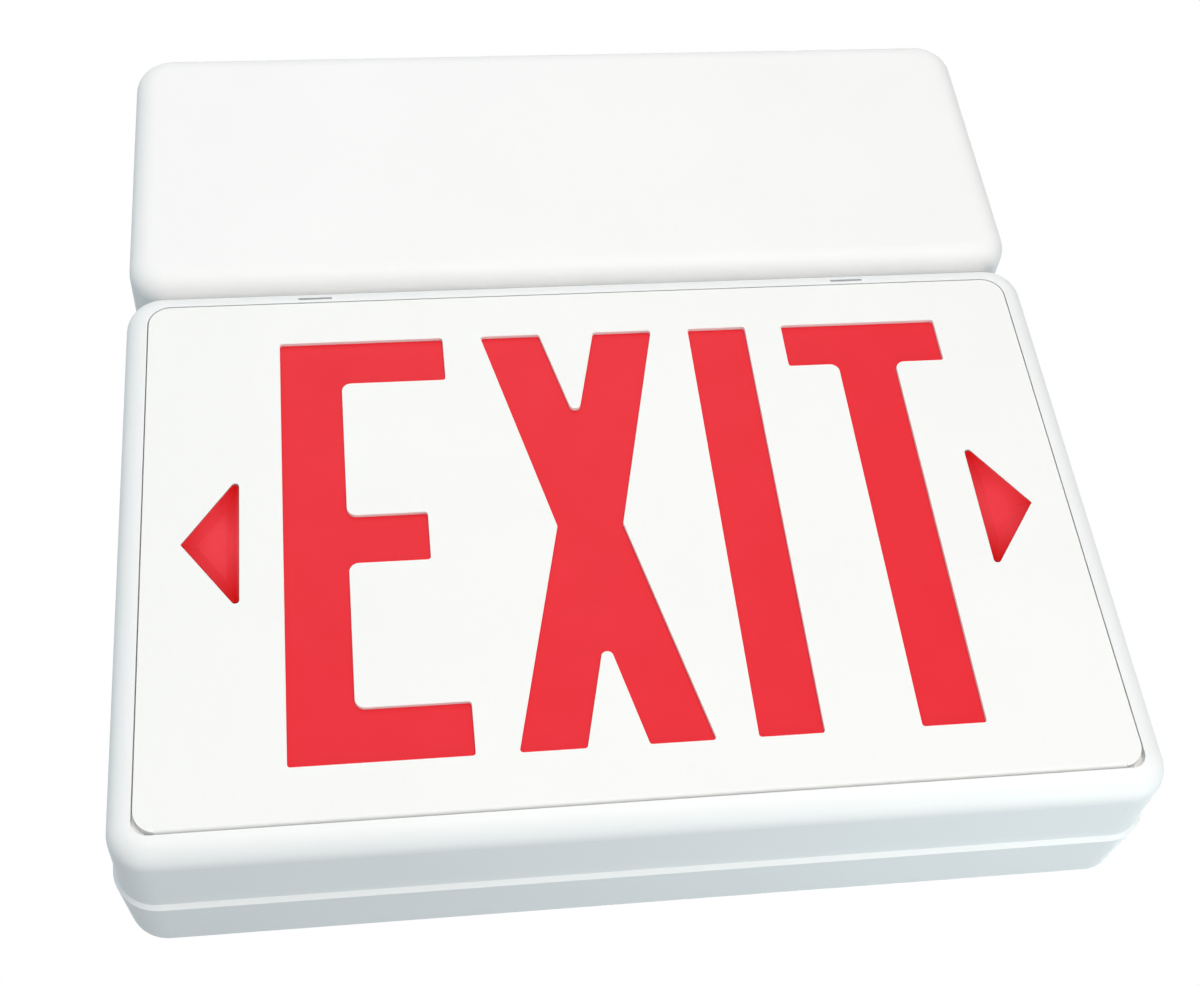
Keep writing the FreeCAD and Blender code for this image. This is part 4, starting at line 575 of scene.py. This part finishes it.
# %% Turn a profile into a mesh
def turned_mesh(name, radius, height, frames, material, body):
    """
    A surface from two grids, radius and height, with a row for each profile point and a column for
    each angle. Its points are centre + across * r cos(angle) + up * r sin(angle) + out * height.
    It is repeated once for each frame (centre, across, up, out), all in one mesh.
    """
    rows, columns = radius.shape
    angle = np.linspace(0, 2 * np.pi, columns, endpoint=False)
    points, faces = [], []
    row, column = np.meshgrid(np.arange(rows - 1), np.arange(columns), indexing="ij")
    beside = (column + 1) % columns
    quads = np.stack([row * columns + column, (row + 1) * columns + column,
                      (row + 1) * columns + beside, row * columns + beside], axis=-1).reshape(-1, 4)
    ring = np.arange(columns)
    after = (ring + 1) % columns
    tip, tail = rows * columns, rows * columns + 1
    last = (rows - 1) * columns
    caps = np.concatenate([np.stack([np.full(columns, tip), ring, after], axis=-1),
                           np.stack([np.full(columns, tail), last + after, last + ring], axis=-1)])
    for i, (centre, across, up, out) in enumerate(frames):
        centre, across, up, out = (np.array(v, float) for v in (centre, across, up, out))
        flat = (radius * np.cos(angle))[..., None] * across + (radius * np.sin(angle))[..., None] * up
        grid = centre + flat + height[..., None] * out
        poles = centre + np.array([height[0].mean(), height[-1].mean()])[:, None] * out
        points.append(np.concatenate([grid.reshape(-1, 3), poles]))
        start = i * (rows * columns + 2)
        faces += (quads + start).tolist() + (caps + start).tolist()
    mesh = bpy.data.meshes.new(name)
    mesh.from_pydata(np.concatenate(points).tolist(), [], faces)
    mesh.shade_smooth()
    mesh.materials.append(material)
    thing = bpy.data.objects.new(name, mesh)
    bpy.context.scene.collection.objects.link(thing)
    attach(thing, body)
    print(name, len(frames), "turned,", len(faces), "faces")
    return thing

# %% [markdown]
# ## Screws with threads and driver recesses
# The CAD screws are plain rods, right in size. A real one has a domed head with a cross recess and a
# rolled thread. Both are changes to the turned surface: the dome is lowered where a point lies within
# a cross, and along the shank the radius falls and rises with (distance / pitch - angle / 360 degrees),
# which is a helix. Each screw stays inside the rod that it replaces.

# %% One screw as two grids
def screw_grids(head_radius, head_height, shank_radius, length, columns=36):
    """Radius and height grids: dome, rim, underside, threaded shank, point."""
    angle = np.linspace(0, 2 * np.pi, columns, endpoint=False)[None, :]
    share = np.linspace(0.03, 0.93, 15)[:, None]
    dome_r = share * head_radius * np.ones_like(angle)
    dome_h = head_height * (1 - 0.50 * share ** 2.4) * np.ones_like(angle)
    x, y = dome_r * np.cos(angle), dome_r * np.sin(angle)
    arm, reach, soft = 0.17 * head_radius, 0.58 * head_radius, 0.10 * head_radius

    def bar(a, b):
        across = np.clip((arm - np.abs(a)) / soft + 0.5, 0, 1)
        return across * np.clip((reach - np.abs(b)) / soft + 0.5, 0, 1)

    dome_h = dome_h - np.maximum(bar(x, y), bar(y, x)) * head_height * 0.55
    rim_r = np.array([0.985, 1.0, 1.0, 0.97])[:, None] * head_radius * np.ones_like(angle)
    rim_h = np.array([0.36, 0.24, 0.06, 0.0])[:, None] * head_height * np.ones_like(angle)
    pitch = shank_radius * 0.72
    steps = max(24, int(length / pitch * 8))
    along = np.linspace(0.0, 1.0, steps)[:, None] * length
    wave = np.abs(((along / pitch - angle / (2 * np.pi)) % 1.0) * 2 - 1)
    taper = np.clip((length - along) / (2.2 * shank_radius), 0.12, 1.0)
    shank_r = shank_radius * taper * (0.80 + 0.20 * wave ** 1.5)
    shank_h = -along * np.ones_like(angle)
    return np.concatenate([dome_r, rim_r, shank_r]), np.concatenate([dome_h, rim_h, shank_h])

X, Y, Z = (1, 0, 0), (0, 1, 0), (0, 0, 1)
X_BACK, Y_BACK, Z_BACK = (-1, 0, 0), (0, -1, 0), (0, 0, -1)
head_radius, head_height, shank_radius = 0.0034, 0.0022, 0.00175
screw_zinc = metal("screw_zinc", (0.72, 0.72, 0.70, 1.0), (0.56, 0.57, 0.57, 1.0), 0.27, 0.0009,
                   (1, 1, 1), 0.000006)

def screw_row(name, low, high, seat, length, side):
    """Screws along Y at the corners of a CAD box; side -1 has its heads away from the wall."""
    radius, height = screw_grids(head_radius, head_height, shank_radius, length)
    xs = sorted({round(low[0] + head_radius, 5), round(high[0] - head_radius, 5)})
    zs = sorted({round(low[2] + head_radius, 5), round(high[2] - head_radius, 5)})
    axes = (X, Z, Y_BACK) if side < 0 else (X_BACK, Z, Y)
    frames = [((x, seat, z),) + axes for x in xs for z in zs]
    return turned_mesh(name, radius, height, frames, screw_zinc, "housing")

# %% The screws in their places
low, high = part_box("housing_screws")
length = high[1] - low[1] - head_height
long_screws = screw_row("long_screws", low, high, high[1] - head_height, length, 1)
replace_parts(long_screws, "housing_screws")

low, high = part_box("board_screws")
length = high[1] - low[1] - head_height
short_screws = screw_row("short_screws", low, high, low[1] + head_height, length, -1)
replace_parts(short_screws, "board_screws")

low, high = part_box("cover_screws")
middle_y, middle_z = (low[1] + high[1]) / 2, (low[2] + high[2]) / 2
side_screw_length = 0.0070
radius, height = screw_grids(head_radius, head_height, shank_radius, side_screw_length)
side_frames = [((high[0] - head_height, middle_y, middle_z), Y, Z, X),
               ((low[0] + head_height, middle_y, middle_z), Y_BACK, Z, X_BACK)]
side_screws = turned_mesh("side_screws", radius, height, side_frames, screw_zinc, "housing")
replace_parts(side_screws, "cover_screws")

low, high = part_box("strap_screws")
radius, height = screw_grids(head_radius, head_height, shank_radius, high[1] - low[1] - head_height)
foot = low[0] + head_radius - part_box("battery_strap")[0][0]
strap_frames = []
for start, end in (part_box("battery_strap"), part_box("transformer_frame")):
    for x in (start[0] + foot, end[0] - foot):
        spot = (x, low[1] + head_height, (start[2] + end[2]) / 2)
        strap_frames.append((spot, X, Z, Y_BACK))
foot_screws = turned_mesh("foot_screws", radius, height, strap_frames, screw_zinc, "housing")
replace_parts(foot_screws, "strap_screws")

# %% [markdown]
# ## LEDs
# A through-hole LED is a cylinder with a hemisphere on one end and a thin flange on the other. The
# profile is three short runs: out along the base and up the flange, up the barrel, and over a quarter
# circle. Every LED is the same surface, so both rows are one call each.

# %% LED profile and rows
def led_grids(radius, length, columns=28):
    """Radius and height grids, from the dome's top down to the flange's flat base."""
    barrel = radius * 0.90
    turn = np.linspace(0.06, 1.0, 9)[:, None] * np.pi / 2
    dome_r, dome_h = barrel * np.sin(turn), length - barrel + barrel * np.cos(turn)
    flange = 0.0009
    rest_r = np.array([barrel, barrel, radius, radius, radius * 0.97, radius * 0.4])[:, None]
    rest_h = np.array([length * 0.4, flange * 1.1, flange, flange * 0.2, 0.0, 0.0])[:, None]
    one = np.ones((1, columns))
    return np.concatenate([dome_r, rest_r]) * one, np.concatenate([dome_h, rest_h]) * one

def led_epoxy():
    finish = Finish("led_epoxy")
    x, y, _ = finish.axes()
    along = (((x - led_low[0] - led_radius) / led_pitch + 0.5).fraction() - 0.5) * led_pitch
    core_radius, core_edge = 0.0012, 0.0010
    away = (along * along + (y - strip_y) ** 2) ** 0.5
    core = ((core_radius - away) / core_edge + 0.5).clamp()
    swirl = finish.noise(0.002, 2.0)
    return finish.set(Base_Color=core.mix((0.60, 0.025, 0.022, 1.0), (0.85, 0.10, 0.06, 1.0)),
                      Roughness=0.08 + swirl * 0.06, Normal=finish.bump(swirl, 0.00001), IOR=1.55,
                      Coat_Weight=0.5, Coat_Roughness=0.03)

epoxy = led_epoxy()
led_length = led_high[2] - led_low[2]
radius, height = led_grids(led_radius, led_length)
for row, node, base, out in (("upper_domes", "upper_leds", led_high[2], Z_BACK),
                             ("lower_domes", "lower_leds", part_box("lower_leds")[0][2], Z)):
    across = X if out == Z else X_BACK
    frames = [((led_low[0] + led_radius + i * led_pitch, strip_y, base), across, Y, out)
              for i in range(led_count)]
    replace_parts(turned_mesh(row, radius, height, frames, epoxy, "housing"), node)

# %% [markdown]
# ## Button spring
# A compression spring is a round wire along a helix, with its end turns closed up so that it stands
# square. The wire is a small circle carried along the helix: at each step one axis of the circle
# points away from the spring's own axis, and the other is at right angles to it and to the wire.

# %% Wire along a helix
def spring_mesh(name, low, high, wire, turns, material):
    """
    Centre line: x runs from end to end, slowly in the first and last turn, while y and z go round a
    circle by the sine and cosine of the angle. The surface is that line plus wire / 2 times
    (outward * cos a + beside * sin a) for every angle a round the wire.
    """
    steps_per_turn, wire_sides = 24, 12
    turn = np.linspace(0, turns, turns * steps_per_turn + 1)
    length, coil = high[0] - low[0] - wire, (high[2] - low[2] - wire) / 2
    x = low[0] + wire / 2 + np.interp(turn, [0, 1, turns - 1, turns], [0, wire, length - wire, length])
    outward = np.stack([0 * turn, np.cos(2 * np.pi * turn), np.sin(2 * np.pi * turn)], axis=-1)
    axis = np.array([0, (low[1] + high[1]) / 2, (low[2] + high[2]) / 2])
    line = axis + x[:, None] * np.array([1, 0, 0]) + coil * outward
    beside = np.cross(np.gradient(line, axis=0), outward)
    beside /= np.linalg.norm(beside, axis=1)[:, None]
    around = np.linspace(0, 2 * np.pi, wire_sides, endpoint=False)[None, :, None]
    skin = line[:, None] + wire / 2 * (outward[:, None] * np.cos(around) + beside[:, None] * np.sin(around))
    rows, columns = skin.shape[:2]
    row, column = np.meshgrid(np.arange(rows - 1), np.arange(columns), indexing="ij")
    beyond = (column + 1) % columns
    quads = np.stack([row * columns + column, row * columns + beyond,
                      (row + 1) * columns + beyond, (row + 1) * columns + column], axis=-1).reshape(-1, 4)
    ends = [list(range(columns))[::-1], list(range((rows - 1) * columns, rows * columns))]
    mesh = bpy.data.meshes.new(name)
    mesh.from_pydata(skin.reshape(-1, 3).tolist(), [], quads.tolist() + ends)
    mesh.shade_smooth()
    mesh.materials.append(material)
    thing = bpy.data.objects.new(name, mesh)
    bpy.context.scene.collection.objects.link(thing)
    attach(thing, "housing")
    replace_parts(thing, "button_spring")
    print(name, turns, "turns,", len(quads), "faces")
    return thing

low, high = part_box("button_spring")
press = next(joint for joint in frame["joints"] if joint["name"] == "button_press")
travel = press["range_m"][1]
spring_wire, spring_turns = 0.0006, 6
spring = spring_mesh("coil_spring", low, high, spring_wire, spring_turns, spring_steel)
1 - travel / (high[0] - low[0])
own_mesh(spring)
print("travel", round(travel * 1000, 2), "mm of", round((high[0] - low[0]) * 1000, 2), "mm")

# %% [markdown]
# ## Stage, light and camera
# The floor is plain and pale, and glows a little for the camera alone, so that it stays pale from
# above without lighting the underside. White behind the part comes from the world, but only for the
# camera, for reflections and through glass, so that it adds no light. A warm lamp in front and a
# cooler one on the left light the face evenly, one above reaches the cover, and a low one on the
# right opens up the underside. One behind is there for views of the back. The faint blue world
# fills the rest.

# %% Floor
def pale_stage(name, colour):
    finish = Finish(name)
    mottle = finish.noise(0.3, 2.0)
    darker = tuple(c * 0.97 for c in colour[:3]) + (1.0,)
    seen = finish.node("ShaderNodeLightPath")
    return finish.set(Base_Color=mottle.mix(darker, colour), Roughness=0.9, Emission_Strength=1.0,
                      Emission_Color=seen.mix((0, 0, 0, 1), (0.56, 0.56, 0.56, 1)))

floor_level, floor_half = -1.30, 4.0
floor_corners = [(-floor_half, -floor_half, floor_level), (floor_half, -floor_half, floor_level),
                 (floor_half, floor_half, floor_level), (-floor_half, floor_half, floor_level)]
floor_mesh = bpy.data.meshes.new("floor")
floor_mesh.from_pydata(floor_corners, [], [(0, 1, 2, 3)])
floor_mesh.materials.append(pale_stage("floor_pale", (0.80, 0.80, 0.80, 1.0)))
floor = bpy.data.objects.new("floor", floor_mesh)
bpy.context.scene.collection.objects.link(floor)
print("floor at", floor_level, "m,", 2 * floor_half, "m wide")

# %% World
world = bpy.data.worlds.new("studio")
bpy.context.scene.world = world
world.use_nodes = True
air = world.node_tree
ambient = next(n for n in air.nodes if n.type == "BACKGROUND")
ambient.inputs["Color"].default_value = (0.72, 0.88, 1.0, 1.0)
ambient.inputs["Strength"].default_value = 0.32
backdrop = air.nodes.new("ShaderNodeBackground")
backdrop.inputs["Color"].default_value = (1, 1, 1, 1)
backdrop.inputs["Strength"].default_value = 1.0
rays = air.nodes.new("ShaderNodeLightPath")
seen = air.nodes.new("ShaderNodeMath")
shown = air.nodes.new("ShaderNodeMath")
seen.operation = shown.operation = "MAXIMUM"
air.links.new(rays.outputs["Is Camera Ray"], seen.inputs[0])
air.links.new(rays.outputs["Is Glossy Ray"], seen.inputs[1])
air.links.new(seen.outputs[0], shown.inputs[0])
air.links.new(rays.outputs["Is Transmission Ray"], shown.inputs[1])
chosen = air.nodes.new("ShaderNodeMixShader")
air.links.new(shown.outputs[0], chosen.inputs[0])
air.links.new(ambient.outputs[0], chosen.inputs[1])
air.links.new(backdrop.outputs[0], chosen.inputs[2])
surround = next(n for n in air.nodes if n.type == "OUTPUT_WORLD")
air.links.new(chosen.outputs[0], surround.inputs["Surface"])
print("world strength", round(ambient.inputs["Strength"].default_value, 2))

# %% Lamps
def soft_box(name, place, target, size, power, colour):
    """A rectangular lamp aimed at a point; its size sets how soft its shadows are."""
    lamp = bpy.data.lights.new(name, "AREA")
    lamp.shape, lamp.size, lamp.size_y = "RECTANGLE", size[0], size[1]
    lamp.energy, lamp.color = power, colour
    thing = bpy.data.objects.new(name, lamp)
    bpy.context.scene.collection.objects.link(thing)
    thing.location = place
    thing.rotation_euler = (Vector(target) - Vector(place)).to_track_quat("-Z", "Y").to_euler()
    print(name, power, "W")
    return thing

middle, underside = (0.0, -0.03, 0.05), (0.10, -0.02, -0.10)
soft_box("front_lamp", (0.25, -1.70, -0.30), middle, (1.0, 1.0), 17.3, (1.0, 0.88, 0.80))
soft_box("left_lamp", (-1.40, -1.20, 0.0), middle, (1.0, 1.0), 5.9, (0.88, 1.0, 1.0))
soft_box("top_lamp", (0.0, -1.30, 1.10), middle, (1.0, 1.0), 6.8, (1.0, 1.0, 0.97))
soft_box("low_lamp", (0.36, -0.10, -0.52), underside, (0.4, 0.2), 1.18, (0.88, 1.0, 1.0))
soft_box("back_lamp", (0.70, 1.90, 0.60), middle, (1.0, 1.0), 18.0, (1.0, 0.99, 0.97))

# %% Camera
sensor_mm, lens_mm = 36.0, 56.289
eye = Vector((-0.07653, -0.53349, -0.31829))
camera_data = bpy.data.cameras.new("camera")
camera_data.sensor_width, camera_data.lens = sensor_mm, lens_mm
camera = bpy.data.objects.new("camera", camera_data)
bpy.context.scene.collection.objects.link(camera)
bpy.context.scene.camera = camera
look = Vector((0.12382, 0.81519, 0.56580)).normalized()
up = Vector((0.04766, -0.57441, 0.81718))
up = (up - up.dot(look) * look).normalized()
right = look.cross(up)
turn = Matrix((right, up, -look)).transposed().to_4x4()
camera.matrix_world = Matrix.Translation(eye) @ turn
bpy.context.scene.view_settings.view_transform = "Standard"
print("camera", round((Vector(middle) - eye).length, 3), "m away, lens", lens_mm, "mm")
